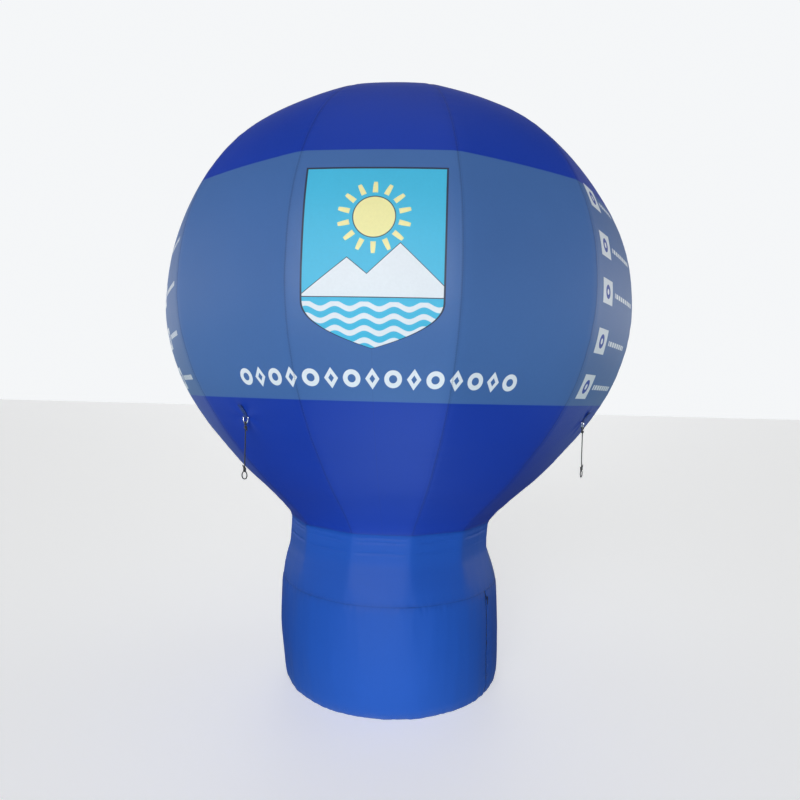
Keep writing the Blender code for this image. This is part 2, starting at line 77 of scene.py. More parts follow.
class Field:
    """A value in a node tree on which plain arithmetic works, with one Math node for each step."""

    def __init__(self, source):
        self.socket = socket_of(source)

    def __add__(self, other):
        return maths("ADD", self, other)

    def __sub__(self, other):
        return maths("SUBTRACT", self, other)

    def __mul__(self, other):
        return maths("MULTIPLY", self, other)

    def __truediv__(self, other):
        return maths("DIVIDE", self, other)

    def __radd__(self, other):
        return maths("ADD", other, self)

    def __rsub__(self, other):
        return maths("SUBTRACT", other, self)

    def __rmul__(self, other):
        return maths("MULTIPLY", other, self)

    def __rtruediv__(self, other):
        return maths("DIVIDE", other, self)

    def __abs__(self):
        return maths("ABSOLUTE", self)


def socket_of(value):
    """The socket of a field, or a node's first output. Sockets and constants stay as they are."""
    if isinstance(value, bpy.types.Node):
        return value.outputs[0]
    return value.socket if isinstance(value, Field) else value


def tree_of(*values):
    return next(s.id_data for s in map(socket_of, values) if isinstance(s, bpy.types.NodeSocket))


def feed(socket, value):
    value = socket_of(value)
    if isinstance(value, bpy.types.NodeSocket):
        socket.id_data.links.new(value, socket)
    else:
        socket.default_value = value


def node(tree, kind, inputs=None, **settings):
    """A node with its settings, and its inputs by name or by number."""
    made = tree.nodes.new(kind)
    for key, value in settings.items():
        setattr(made, key, value)
    for key, value in (inputs or {}).items():
        feed(made.inputs[key], value)
    return made


def maths(operation, *values):
    return Field(node(tree_of(*values), "ShaderNodeMath", dict(enumerate(values)), operation=operation))


def least(*values):
    result = values[0]
    for value in values[1:]:
        result = maths("MINIMUM", result, value)
    return result


def most(*values):
    result = values[0]
    for value in values[1:]:
        result = maths("MAXIMUM", result, value)
    return result


def distance(across, along):
    return maths("SQRT", across * across + along * along)


def bell(value, width):
    """1 at 0, and soon nothing beyond the width."""
    ratio = value / width
    return maths("EXPONENT", ratio * ratio * -1.0)


def inside(depth, softness=0.0015):
    """1 where depth is above 0, with an edge as soft as ink on cloth."""
    return least(most(depth * (1.0 / softness) + 0.5, 0.0), 1.0)


def split(vector):
    parts = node(tree_of(vector), "ShaderNodeSeparateXYZ", {0: vector})
    return [Field(output) for output in parts.outputs]


def joined(x, y, z=0.0):
    return node(tree_of(x, y, z), "ShaderNodeCombineXYZ", {0: x, 1: y, 2: z})


def noise(vector, scale=1.0, detail=2.0):
    """Smooth noise from about -1 to 1."""
    inputs = {"Vector": vector, "Scale": scale, "Detail": detail}
    return Field(node(tree_of(vector), "ShaderNodeTexNoise", inputs)) * 2.0 - 1.0


def new_group(kind, name, inputs, outputs):
    """An empty node group: its tree, its inputs as fields, and its output node.

    An input says its default value, or the kind of a socket that has none, and an output its kind.
    """
    tree = bpy.data.node_groups.new(name, kind)
    for label, value in inputs.items():
        kind = value if isinstance(value, str) else {int: "Int", float: "Float"}[type(value)]
        socket = tree.interface.new_socket(name=label, in_out="INPUT", socket_type=f"NodeSocket{kind}")
        if value != kind:
            socket.default_value = value
    for label, kind in outputs.items():
        tree.interface.new_socket(name=label, in_out="OUTPUT", socket_type=f"NodeSocket{kind}")
    start = tree.nodes.new("NodeGroupInput")
    given = {label: Field(start.outputs[label]) for label in inputs}
    return tree, given, tree.nodes.new("NodeGroupOutput")


def weave_group():
    """Warp over weft, from 0 to 1. The vector is in metres along the cloth, the pitch is one thread."""
    inputs = {"Vector": "Vector", "Pitch": 0.0008}
    tree, given, end = new_group("ShaderNodeTree", "plain_weave", inputs, {"Height": "Float"})
    across, along, _ = split(given["Vector"])
    warp, weft = (maths("SINE", way * math.pi / given["Pitch"]) for way in (across, along))
    feed(end.inputs["Height"], warp * warp * 0.5 + weft * weft * 0.5)
    return tree


def mottle_group():
    """Uneven coating: a broad and a fine noise over the surface, from -1 to 1."""
    inputs, outputs = {"Vector": "Vector", "Broad": 2.0, "Fine": 90.0}, {"Broad": "Float", "Fine": "Float"}
    tree, given, end = new_group("ShaderNodeTree", "mottle", inputs, outputs)
    for label in outputs:
        feed(end.inputs[label], noise(given["Vector"], given[label], 3.0))
    return tree


def dust_group():
    """How much dust lies on cloth that stands on the ground, from 0 to 1, most of it at the hem."""
    inputs = {"Vector": "Vector", "Reach": 0.06, "Amount": 0.5}
    tree, given, end = new_group("ShaderNodeTree", "dust", inputs, {"Mask": "Float"})
    _, _, z = split(given["Vector"])
    low = maths("EXPONENT", z / given["Reach"] * -1.0)
    patches = noise(given["Vector"], 9.0, 4.0) * 0.8 + 0.6
    feed(end.inputs["Mask"], least(most(low * patches * given["Amount"], 0.0), 1.0))
    return tree


WEAVE, MOTTLE, DUST = weave_group(), mottle_group(), dust_group()


def use_group(tree, group, **inputs):
    made = node(tree, "ShaderNodeGroup", node_tree=group)
    for key, value in inputs.items():
        feed(made.inputs[key], value)
    return {output.name: Field(output) for output in made.outputs}


def new_material(name, roughness, **constants):
    """A material, its tree, and its shader with the constant values set on their own sockets."""
    material = bpy.data.materials.new(name)
    material.use_nodes = True
    shader = material.node_tree.nodes["Principled BSDF"]
    shader.inputs["Roughness"].default_value = roughness
    for key, value in constants.items():
        shader.inputs[key.replace("_", " ")].default_value = value
    return material, material.node_tree, shader


def mixed(share, first, second):
    """One colour going over into another. A colour is a triple or a socket."""
    first, second = ((*c, 1.0) if isinstance(c, tuple) else c for c in (first, second))
    inputs = {0: share, 6: first, 7: second}
    return node(tree_of(share), "ShaderNodeMix", inputs, data_type="RGBA", clamp_factor=True).outputs[2]


def shaded(colour, value):
    """A colour made lighter or darker by a factor that changes over the surface."""
    colour = (*colour, 1.0) if isinstance(colour, tuple) else colour
    return node(tree_of(value), "ShaderNodeHueSaturation", {"Value": value, "Color": colour})


def object_place(tree):
    return tree.nodes.new("ShaderNodeTexCoord").outputs["Object"]


def bumped(shader, height):
    """A height in metres on the shader's normal."""
    inputs = {"Strength": 1.0, "Distance": 1.0, "Height": height}
    feed(shader.inputs["Normal"], node(shader.id_data, "ShaderNodeBump", inputs))


def grained(
    name, colour, roughness, broad=(2.0, 0.0), fine=(90.0, 0.0), gloss=0.0, scratch=0.0, bump=0.0,
    dusty=False, **constants,
):
    """A finish with a broad and a fine noise, each given as its scale and its share in the colour.

    The fine one also clouds the gloss, scratches it and raises bumps. Dust lies near the ground.
    """
    material, tree, shader = new_material(name, roughness, **constants)
    place = object_place(tree)
    grain = use_group(tree, MOTTLE, Vector=place, Broad=broad[0], Fine=fine[0])
    colour = shaded(colour, 1.0 + grain["Broad"] * broad[1] + grain["Fine"] * fine[1])
    rough = roughness + grain["Fine"] * gloss + most(grain["Fine"], 0.0) * scratch
    if dusty:
        dust = use_group(tree, DUST, Vector=place, Reach=0.25, Amount=0.35)["Mask"]
        colour, rough = mixed(dust, colour, (0.24, 0.23, 0.21)), rough + dust * 0.2
    feed(shader.inputs["Base Color"], colour)
    feed(shader.inputs["Roughness"], rough)
    bumped(shader, grain["Fine"] * bump)
    return material


ROYAL, BAND_BLUE, DRUM_BLUE = (0.005, 0.039, 0.365), (0.054, 0.138, 0.365), (0.013, 0.080, 0.410)
WHITE, PALE_YELLOW = (0.78, 0.80, 0.84), (0.90, 0.82, 0.38)
CYAN, DARK, DUST_COLOUR = (0.060, 0.480, 0.720), (0.030, 0.034, 0.070), (0.30, 0.29, 0.27)
BAND_BOTTOM, BAND_TOP = 1.687, 2.745
PRINT_MIDDLE, PRINT_PERIOD = -4.4, 120.0
SHIELD_HALF, SHIELD_TIP, SHIELD_TOP, SHIELD_CURVE, OUTLINE = 0.296, 1.904, 2.657, 0.19, 0.008
SUN_HEIGHT, SUN_RADIUS, RAY_START, RAY_END, RAYS, INK_LINE = 2.435, 0.085, 0.104, 0.152, 14.0, 0.004
SHORE, WAVE_PITCH = 2.110, 0.048
ORNAMENTS, ORNAMENT_PITCH, ORNAMENT_HEIGHT = 7, 3.95, 1.783
COLUMN_START, COLUMN_MIDDLE, DASH_START, DASH_PITCH = 45.0, 6.5, 11.4, 0.046
SQUARE_HALF_WIDTH, SQUARE_HALF_HEIGHT = 0.0735, 0.059
COLUMN_ROWS = ((2.700, 22.0), (2.460, 26.8), (2.235, 27.5), (2.000, 25.1), (1.781, 26.3))
CLOTH_ROUGHNESS, PRINTED_GLOSS, PLAIN_GLOSS, FELL_WIDTH = 0.50, 0.40, 0.18, 0.009


def shield_layers(lateral, z):
    """Masks and colours of the shield-shaped panel: a sun over two hills and water, all outlined."""
    share = least(most((z - SHIELD_TIP) / SHIELD_CURVE, 0.0), 1.0)
    half_width = (1.0 - maths("POWER", 1.0 - share, 2.2)) * SHIELD_HALF
    depth = least(half_width - abs(lateral), SHIELD_TOP - z)
    field = inside(depth - OUTLINE)
    above_sun = z - SUN_HEIGHT
    reach = distance(lateral, above_sun)
    petals = maths("COSINE", maths("ARCTAN2", lateral, above_sun) * RAYS)
    rays = inside(petals - 0.1 - (reach - RAY_START) * 14.0, 0.1)
    rays = inside(least(reach - RAY_START, RAY_END - reach)) * rays
    hills = most(2.325 - abs(lateral - 0.110) * 0.95, 2.265 - abs(lateral + 0.105) * 0.80)
    hills = least(hills - z, z - SHORE)
    waves = maths("FRACT", (z - 1.70) / WAVE_PITCH + maths("SINE", lateral * 52.0) * 0.22)
    water = inside(least(waves - 0.52, 0.98 - waves), 0.05) * inside(SHORE - 0.020 - z)
    return [
        (inside(depth), DARK),
        (field, CYAN),
        (field * inside(SUN_RADIUS + INK_LINE - reach), DARK),
        (field * inside(SUN_RADIUS - reach), PALE_YELLOW),
        (field * rays, PALE_YELLOW),
        (field * inside(hills + INK_LINE), DARK),
        (field * inside(hills), WHITE),
        (field * water, WHITE),
    ]


def ornament_mask(turn, radius, z):
    """A row of lozenges and rings in turn, under the shield."""
    number = maths("ROUND", turn / ORNAMENT_PITCH)
    across = (turn - number * ORNAMENT_PITCH) * TO_RADIANS * radius
    over = z - ORNAMENT_HEIGHT
    lozenge = 0.030 - (abs(across) + abs(over) * 0.68)
    lozenge = least(lozenge, 0.018 - lozenge)
    ring = 0.010 - abs(distance(across, over) - 0.027)
    odd = maths("PINGPONG", number, 1.0)
    row = inside(ORNAMENTS + 0.5 - abs(number), 0.1)
    return row * (inside(lozenge) * (1.0 - odd) + inside(ring) * odd)


def column_masks(turn, radius, z):
    """White squares one above the other with a blue mark in each, and dashed lines beside them."""
    start = maths("FLOORED_MODULO", turn - COLUMN_START, PRINT_PERIOD)
    across = (start - COLUMN_MIDDLE) * TO_RADIANS * radius
    squares, marks, dashes = [], [], []
    for height, end in COLUMN_ROWS:
        over = z - height
        squares.append(least(SQUARE_HALF_WIDTH - abs(across), SQUARE_HALF_HEIGHT - abs(over)))
        marks.append(0.010 - abs(distance(across, over) - 0.024))
        dashes.append(least(0.012 - abs(over), (start - DASH_START) * 0.02, (end - start) * 0.02))
    gaps = maths("FRACT", across / DASH_PITCH)
    dashed = inside(most(*dashes)) * inside(least(gaps - 0.05, 0.80 - gaps), 0.03)
    return inside(most(*squares)), inside(most(*marks)), dashed


def cloth_surface(material, tree, shader, colour, seams):
    """Weave, uneven coating, painted shade along the seams and the rims, a raised felled seam and a little
    dust, the same on every cloth of the envelope.
    """
    place = object_place(tree)
    uv = node(tree, "ShaderNodeUVMap", uv_map="cloth")
    weave = use_group(tree, WEAVE, Vector=uv)["Height"]
    mottle = use_group(tree, MOTTLE, Vector=place)
    dust = use_group(tree, DUST, Vector=place, Reach=0.015, Amount=0.25)["Mask"]
    value = 1.0 + mottle["Broad"] * 0.07 + mottle["Fine"] * 0.04
    height = weave * 0.00003 + mottle["Fine"] * 0.00006
    # Painted shade: the cloth is darkened in a thin line and a wider soft band where it ends at a seam, hem
    # or edge, unevenly along them.
    rim = Field(node(tree, "ShaderNodeAttribute", attribute_name="rim").outputs["Fac"])
    rim_shade_patchiness = 0.6 + use_group(tree, MOTTLE, Vector=place, Broad=5.0)["Broad"]
    value *= (1.0 - bell(rim, 0.0030) * 0.26 * rim_shade_patchiness) * (1.0 - bell(rim, 0.016) * 0.07)
    if seams:
        # Painted shade in the felled seams: a dark line along each seam and a faint wider band beside it.
        edge = Field(node(tree, "ShaderNodeAttribute", attribute_name="edge").outputs["Fac"])
        value *= (1.0 - bell(edge, 0.0018) * 0.30) * (1.0 - bell(edge, 0.010) * 0.06)
        height += inside(FELL_WIDTH - edge, 0.002) * 0.0006
    feed(shader.inputs["Base Color"], mixed(dust, shaded(colour, value), DUST_COLOUR))
    feed(shader.inputs["Roughness"], CLOTH_ROUGHNESS + mottle["Fine"] * 0.05 + dust * 0.3)
    bumped(shader, height)
    return material


def printed_cloth():
    material, tree, shader = new_material("printed_polyester", CLOTH_ROUGHNESS)
    shader.inputs["Specular IOR Level"].default_value = PRINTED_GLOSS
    x, y, z = split(object_place(tree))
    radius = distance(x, y)
    azimuth = maths("ARCTAN2", x, y * -1.0) * TO_DEGREES
    half = PRINT_PERIOD / 2
    turn = maths("FLOORED_MODULO", azimuth - PRINT_MIDDLE + half, PRINT_PERIOD) - half
    lateral = maths("SINE", turn * TO_RADIANS) * radius
    band = inside(least(z - BAND_BOTTOM, BAND_TOP - z), 0.003)
    colour = mixed(band, ROYAL, BAND_BLUE)
    squares, marks, dashes = column_masks(turn, radius, z)
    layers = shield_layers(lateral, z)
    layers += [(ornament_mask(turn, radius, z), WHITE), (squares, WHITE), (marks, ROYAL), (dashes, WHITE)]
    for mask, ink in layers:
        colour = mixed(mask, colour, ink)
    return cloth_surface(material, tree, shader, colour, True)


def plain_cloth(name, blue, seams=False):
    material, tree, shader = new_material(name, CLOTH_ROUGHNESS)
    shader.inputs["Specular IOR Level"].default_value = PLAIN_GLOSS
    return cloth_surface(material, tree, shader, blue, seams)


PRINTED, DRUM_CLOTH = printed_cloth(), plain_cloth("drum_polyester", DRUM_BLUE)

# Twelve gores
# Cut from the printed cloth and sewn edge to edge by felled seams that pucker when the globe is
# blown up. Each is one curved sheet, and the tabs of the guy lines draw it out into short creases.

GORES, FIRST_SEAM, GORE_STEP = 12, -19.4, 30.0
CLOTH, PATCH_THICK, FLOOR_THICK, TAPE_THICK = 0.003, 0.0015, 0.002, 0.0012
GLOBE_RADIUS, EQUATOR_HEIGHT, TOTAL_HEIGHT, CROWN_RADIUS = 1.395, 2.244, 3.500, 0.160
LOWER_GLOBE = [
    (0.967, 0.632, 0.15), (1.020, 0.672, 0.15), (1.077, 0.727, 0.15), (1.150, 0.802, 0.18),
    (1.234, 0.892, 0.20), (1.320, 0.972, 0.22), (1.420, 1.056, 0.25), (1.530, 1.145, 0.25),
    (1.687, 1.247, 0.25), (1.840, 1.320, 0.25), (2.040, 1.378, 0.25),
]
TIES = {"front_left": -37.3, "front_right": 60.5, "rear_right": 142.7, "rear_left": 240.5}
TIE_HEIGHT, LEAN = 1.600, 0.018
CREASE_DEPTHS, CREASE_WIDTH, CREASE_DRIFT, CREASE_TO_SEAM = (0.023, 0.045, 0.104), 0.0065, 0.016, 0.035
SEAM_WIDTH, SEAM_GATHER, SEAM_PITCH, SLIT_GATHER, SLIT_PITCH = 0.014, 0.055, 0.055, 0.045, 0.045
FOOT_GATHER, HEAD_GATHER, FOLD_PITCH, SWELL_PITCH = 0.045, 0.035, 0.13, 0.55
TIE_PATCH, TIE_DIMPLE, TIE_CREASES, TIE_REACH = 0.12, 0.030, 5.0, 0.055
FOOT_HEIGHT, NECK_HEIGHT, NECK_BACK = 0.22, 0.80, 0.65


def ellipse_station(degrees):
    """Height, seam radius and roundness on the globe's upper half, which is an ellipse."""
    angle = math.radians(degrees)
    height = EQUATOR_HEIGHT + (TOTAL_HEIGHT - EQUATOR_HEIGHT) * math.sin(angle)
    share = min(max((degrees - 12.0) / 50.0, 0.0), 1.0)
    return height, GLOBE_RADIUS * math.cos(angle), 0.25 + 0.40 * share * share * (3.0 - 2.0 * share)


def smooth_profile(name, stations, below=None, over=None, steps=10):
    """The stations as a line of edges, (radius, 0, height), smoothed by a spline, with its roundness.

    Below and over are the next stations of the neighbouring pieces, where the curve runs on into them.
    """
    ends = [tuple(2 * a - b for a, b in zip(stations[i], stations[j])) for i, j in ((0, 1), (-1, -2))]
    padded = [below or ends[0], *stations, over or ends[1]]
    points = []
    for a, b, c, d in zip(padded, padded[1:], padded[2:], padded[3:]):
        for i in range(steps):
            t = i / steps
            weights = (-t + 2*t**2 - t**3, 2 - 5*t**2 + 3*t**3, t + 4*t**2 - 3*t**3, t**3 - t**2)
            points.append([0.5 * sum(w * p[k] for w, p in zip(weights, (a, b, c, d))) for k in range(3)])
    points.append(stations[-1])
    mesh = bpy.data.meshes.new(name)
    mesh.from_pydata([(r, 0, z) for z, r, _ in points], [(i, i + 1) for i in range(len(points) - 1)], [])
    roundness = mesh.attributes.new("roundness", "FLOAT", "POINT")
    roundness.data.foreach_set("value", [p[2] for p in points])
    return mesh


def geometry_group(name, inputs):
    """An empty geometry tree with a geometry, a material and the inputs named: its tree and its inputs."""
    inputs = {"Geometry": "Geometry", "material": "Material", **inputs}
    return new_group("GeometryNodeTree", name, inputs, {"Geometry": "Geometry"})[:2]


def end_tree(given, geometry):
    """Smooth faces, Realize Instances and Set Material, which every tree ends in."""
    tree = tree_of(geometry)
    rounded = node(tree, "GeometryNodeSetShadeSmooth", {"Geometry": geometry, "Shade Smooth": True})
    real = node(tree, "GeometryNodeRealizeInstances", {"Geometry": rounded})
    clad = node(tree, "GeometryNodeSetMaterial", {"Geometry": real, "Material": given["material"]})
    feed(next(n for n in tree.nodes if n.bl_idname == "NodeGroupOutput").inputs[0], clad)
    return tree


def apply_modifiers(piece):
    """Takes a piece's modifiers into its mesh, and off the piece."""
    depsgraph = bpy.context.evaluated_depsgraph_get()
    piece.data = bpy.data.meshes.new_from_object(piece.evaluated_get(depsgraph), depsgraph=depsgraph)
    piece.modifiers.clear()


def grown(name, source, tree, wall=0.0, **sizes):
    """What a geometry tree makes from a source mesh, as a plain piece, with a wall put inside a sheet."""
    piece = bpy.data.objects.new(name, source)
    scene.collection.objects.link(piece)
    modifier = piece.modifiers.new("grow", "NODES")
    modifier.node_group = tree
    for item in tree.interface.items_tree:
        if item.in_out == "INPUT" and item.name.replace(" ", "_") in sizes:
            modifier[item.identifier] = sizes[item.name.replace(" ", "_")]
    if wall:
        solid = piece.modifiers.new("wall", "SOLIDIFY")
        solid.thickness, solid.offset, solid.use_even_offset = wall, -1.0, False
    apply_modifiers(piece)
    piece.data.name = name
    piece.data.set_sharp_from_angle(angle=math.radians(50))
    return piece


SKIN_INPUTS = {
    "seam dip": 0.0, "seam pucker": 0.0, "foot pucker": 0.0, "head pucker": 0.0, "pucker length": 0.035,
    "head crease": 0.0, "fold": 0.0, "swell": 0.0, "lift": 0.0, "tie azimuth": 0.0, "tie pull": 0.0,
    "slit azimuth": 0.0, "slit pucker": 0.0, "lean": 0.0,
}


def sampled(given, factor):
    """Radius, height, roundness, outward direction and length along, at a factor of the profile."""
    tree = tree_of(factor)
    curve = node(tree, "GeometryNodeMeshToCurve", {0: given["Geometry"]})
    length = Field(node(tree, "GeometryNodeCurveLength", {0: curve}))
    named = node(tree, "GeometryNodeInputNamedAttribute", {"Name": "roundness"}, data_type="FLOAT")
    wanted = {"Curves": curve, "Value": named, "Factor": factor}
    sample = node(tree, "GeometryNodeSampleCurve", wanted, mode="FACTOR", data_type="FLOAT")
    radius, _, height = split(sample.outputs["Position"])
    run, _, rise = split(sample.outputs["Tangent"])
    return radius, height, Field(sample.outputs["Value"]), rise, run * -1.0, factor * length, length


def on_skin(given, azimuth, factor, lift=0.0):
    """Where the blown-up cloth lies at an azimuth and a factor of the profile, and where its edges are."""
    radius, height, roundness, out, up, along, length = sampled(given, factor)
    from_seam = azimuth - FIRST_SEAM
    offset = (maths("FLOORED_MODULO", from_seam, GORE_STEP) - GORE_STEP / 2) * TO_RADIANS
    flat = math.cos(math.radians(GORE_STEP / 2)) / maths("COSINE", offset)
    reach = radius * (flat + roundness * (1.0 - flat))
    angle = azimuth * TO_RADIANS
    sine, cosine = maths("SINE", angle), maths("COSINE", angle)
    edge = maths("PINGPONG", from_seam, GORE_STEP / 2) * TO_RADIANS * radius
    seam = maths("FLOORED_MODULO", maths("ROUND", from_seam / GORE_STEP), float(GORES))
    x, y = sine * reach, cosine * reach * -1.0

    def around(size, level):
        """Noise that runs round the piece, with a bump as long as the size."""
        return noise(joined(x / size, y / size, level))

    pucker_length = given["pucker length"]
    gather = noise(joined(along / SEAM_PITCH, seam * 5.0), 1.0, 3.0)
    raised = given["lift"] + lift - given["seam dip"] * bell(edge, SEAM_WIDTH)
    raised += given["seam pucker"] * gather * bell(edge, SEAM_GATHER)
    to_head = length - along
    raised += given["foot pucker"] * bell(along, FOOT_GATHER) * around(pucker_length, 0.0)
    raised += given["head pucker"] * bell(to_head, HEAD_GATHER) * around(pucker_length * 0.5, 4.0)
    facet = maths("FLOOR", from_seam / GORE_STEP)
    wave = noise(joined(edge / 0.09, facet * 7.3, 2.0)) * 0.010
    for row, deep in enumerate(CREASE_DEPTHS, 1):
        moved = noise(joined(facet * 5.7, row * 9.1, 4.0))
        place = bell(to_head - deep - moved * CREASE_DRIFT - wave, CREASE_WIDTH)
        reach_in = inside(edge - CREASE_TO_SEAM - moved * 0.03, 0.05) * inside(moved + 0.16, 0.25)
        raised -= given["head crease"] * place * reach_in
    side = (azimuth - given["tie azimuth"]) * TO_RADIANS * radius
    over = (height - TIE_HEIGHT) * 1.3
    apart = distance(side, over)
    swell = given["fold"] * around(FOLD_PITCH, height / 0.7)
    swell += given["swell"] * around(SWELL_PITCH, height / SWELL_PITCH)
    raised += swell * (1.0 - bell(apart, TIE_PATCH) * inside(given["tie pull"], 0.001))
    turned = maths("FLOORED_MODULO", azimuth - given["slit azimuth"] + 180.0, 360.0) - 180.0
    slit = turned * TO_RADIANS * radius
    gathered = noise(joined(along / SLIT_PITCH, maths("SIGN", slit) * 3.0, 9.0))
    raised += given["slit pucker"] * bell(slit, SLIT_GATHER) * gathered
    creases = maths("SINE", maths("ARCTAN2", over, side) * TIE_CREASES + apart * 9.0)
    creases *= bell(apart - TIE_REACH, 0.05)
    raised += given["tie pull"] * (bell(apart, TIE_DIMPLE) * 0.4 + creases * 0.7)
    reach, height = reach + out * raised, height + up * raised
    rim = least(along, to_head)
    front = inside(0.3 - y, 0.45)
    lean = given["lean"] * (bell(height, FOOT_HEIGHT) - bell(height - NECK_HEIGHT, 0.18) * NECK_BACK)
    lean *= front * front * (3.0 - front * 2.0)
    position = joined(sine * reach + lean, cosine * reach * -1.0, height)
    return position, edge, rim, angle * radius, along


def cloth_tree():
    """A sheet of blown-up cloth between two azimuths, along the profile that it is given."""
    inputs = {"start": FIRST_SEAM, "sweep": 360.0, "columns": 24, "rows": 24, "crowding": 1.0}
    tree, given = geometry_group("blown_up_cloth", {**inputs, **SKIN_INPUTS})
    counts = {"Vertices X": given["columns"] + 1.0, "Vertices Y": given["rows"] + 1.0}
    sheet = node(tree, "GeometryNodeMeshGrid", {"Size X": 1.0, "Size Y": 1.0, **counts})
    x, y, _ = split(node(tree, "GeometryNodeInputPosition"))
    to_edge = most(1.0 - abs(x * 2.0), 0.0)
    crowded = 1.0 - maths("POWER", to_edge, given["crowding"])
    azimuth = given["start"] + given["sweep"] * (maths("SIGN", x) * crowded * 0.5 + 0.5)
    place, edge, rim, across, along = on_skin(given, azimuth, least(most(y + 0.5, 0.0), 1.0))
    flat = joined(across, along)
    stored = [("edge", edge, "FLOAT", "POINT"), ("rim", rim, "FLOAT", "POINT")]
    for label, value, kind, domain in stored + [("cloth", flat, "FLOAT2", "CORNER")]:
        named = {"Geometry": sheet, "Name": label, "Value": value}
        sheet = node(tree, "GeometryNodeStoreNamedAttribute", named, data_type=kind, domain=domain)
    moved = node(tree, "GeometryNodeSetPosition", {"Geometry": sheet, "Position": place})
    merged = node(tree, "GeometryNodeMergeByDistance", {"Geometry": moved, "Distance": 0.00005})
    return end_tree(given, merged)


CLOTH_TREE = cloth_tree()
crown_latitude = math.degrees(math.acos(CROWN_RADIUS / GLOBE_RADIUS))
latitudes = [0.0, 12.0, 23.5, 35.0, 46.0, 56.5, 66.5, 76.0, crown_latitude]
gore_stations = LOWER_GLOBE + [ellipse_station(a) for a in latitudes]
gore_profile = smooth_profile("gore_profile", gore_stations, (0.920, 0.625, 0.15))
GLOBE_SHAPE = dict(lean=LEAN, seam_dip=0.003, seam_pucker=0.0030, swell=0.004)
GLOBE_SHAPE.update(foot_pucker=0.003, head_pucker=0.002)
for number in range(GORES):
    start = FIRST_SEAM + GORE_STEP * number
    ties = [a for a in TIES.values() if 0 < (a - start) % 360 < GORE_STEP]
    gore = grown(
        f"gore_{number + 1:02d}_cloth", gore_profile, CLOTH_TREE, CLOTH, start=start, sweep=GORE_STEP,
        columns=48 if ties else 24, crowding=1.25 if ties else 1.6, rows=288, material=PRINTED,
        tie_azimuth=start + (ties[0] - start) % 360 if ties else 0.0, tie_pull=0.004 if ties else 0.0,
        **GLOBE_SHAPE,
    )
    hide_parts(f"gore_{number + 1:02d}")
    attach(gore, "envelope_and_base")

# Neck skirt
# A plain blue ring of the drum's cloth in twelve nearly flat panels. The seams above and below
# it gather it into short level creases.

neck_profile = smooth_profile("neck_profile", [
    (0.599, 0.670, 0.80), (0.673, 0.659, 0.50), (0.740, 0.642, 0.30),
    (0.808, 0.626, 0.20), (0.920, 0.625, 0.15), (0.967, 0.632, 0.15),
], (0.530, 0.677, 0.82), (1.020, 0.672, 0.15))
NECK_SHAPE = dict(lean=LEAN, seam_dip=0.002, seam_pucker=0.0015, foot_pucker=0.003, head_pucker=0.002)
NECK_SHAPE.update(head_crease=0.0035, fold=0.002, swell=0.003)
neck = grown(
    "neck_skirt_cloth", neck_profile, CLOTH_TREE, CLOTH, columns=396, rows=96, material=DRUM_CLOTH,
    **NECK_SHAPE,
)
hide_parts("neck_skirt")
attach(neck, "envelope_and_base")

# Drum wall
# A plain blue tube of coated polyester that stands on the ground, with a slit for the zip. The
# seam above and the hem below gather it a little.

ZIP_AZIMUTH, ZIP_WIDTH, SLIT_HALF_WIDTH, DRUM_RADIUS = 56.0, 0.040, 0.0070, 0.682
drum_profile = smooth_profile("drum_profile", [
    (0.000, 0.655, 0.90), (0.030, 0.662, 0.90), (0.080, 0.669, 0.90),
    (0.315, DRUM_RADIUS, 0.88), (0.530, 0.677, 0.82), (0.599, 0.670, 0.80),
], None, (0.673, 0.659, 0.50))
zip_half, slit_half = (math.degrees(half / DRUM_RADIUS) for half in (0.5 * ZIP_WIDTH, SLIT_HALF_WIDTH))
DRUM_SHAPE = dict(lean=LEAN, foot_pucker=0.005, head_pucker=0.0055, pucker_length=0.040, fold=0.006)
DRUM_SHAPE.update(swell=0.006, slit_azimuth=ZIP_AZIMUTH, slit_pucker=0.006)
drum = grown(
    "drum_wall_cloth", drum_profile, CLOTH_TREE, CLOTH, start=ZIP_AZIMUTH + slit_half,
    sweep=360.0 - 2 * slit_half, columns=456, rows=72, material=DRUM_CLOTH, **DRUM_SHAPE,
)
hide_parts("drum_wall")
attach(drum, "envelope_and_base")

# Crown patch
# A disc of the same royal blue cloth, sewn over the tips of the gores where they leave a hole.
# Its two rows of stitches pucker its rim.

CROWN_RISE = [(3.4897, 0.178), (3.4922, 0.155), (3.4957, 0.110), (3.4985, 0.055), (3.4990, 0.0)]
CROWN_SHAPE = dict(foot_pucker=0.0012, swell=0.004, pucker_length=0.020, lift=0.0018)
crown_profile = smooth_profile("crown_profile", [(z, r, 0.65) for z, r in CROWN_RISE])
crown = grown(
    "crown_patch_cloth", crown_profile, CLOTH_TREE, PATCH_THICK, columns=144,
    material=plain_cloth("crown_polyester", ROYAL), **CROWN_SHAPE,
)
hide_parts("crown_patch")
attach(crown, "envelope_and_base")

# Drum floor
# A flat disc of the drum's cloth, sewn into the hem, which keeps the air in. It lies on the
# ground and shows only from below.

floor_profile = smooth_profile("floor_profile", [(0.0012, r, 1.0) for r in (0.0, 0.2, 0.4, 0.6, 0.648)])
base_floor = grown(
    "drum_floor_cloth", floor_profile, CLOTH_TREE, FLOOR_THICK, columns=180, material=DRUM_CLOTH,
    head_pucker=0.0008, lean=LEAN,
)
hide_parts("drum_floor")
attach(base_floor, "envelope_and_base")

# Stitches
# Two rows of lock stitch in dark blue thread run up every felled seam of the globe, and round
# the neck seam, the base seam, the hem and the crown patch. Each stitch is a small bead of eight faces.

STITCH_SIZE = dict(bead_length=0.0031, bead_width=0.00045, bead_height=0.00040)
SEAM_GAP, STITCH_REACH = 0.0035, 0.004


def new_thread(name, colour):
    return grained(name, colour, 0.5, fine=(1500.0, 0.4), bump=0.00008, Sheen_Weight=0.3)


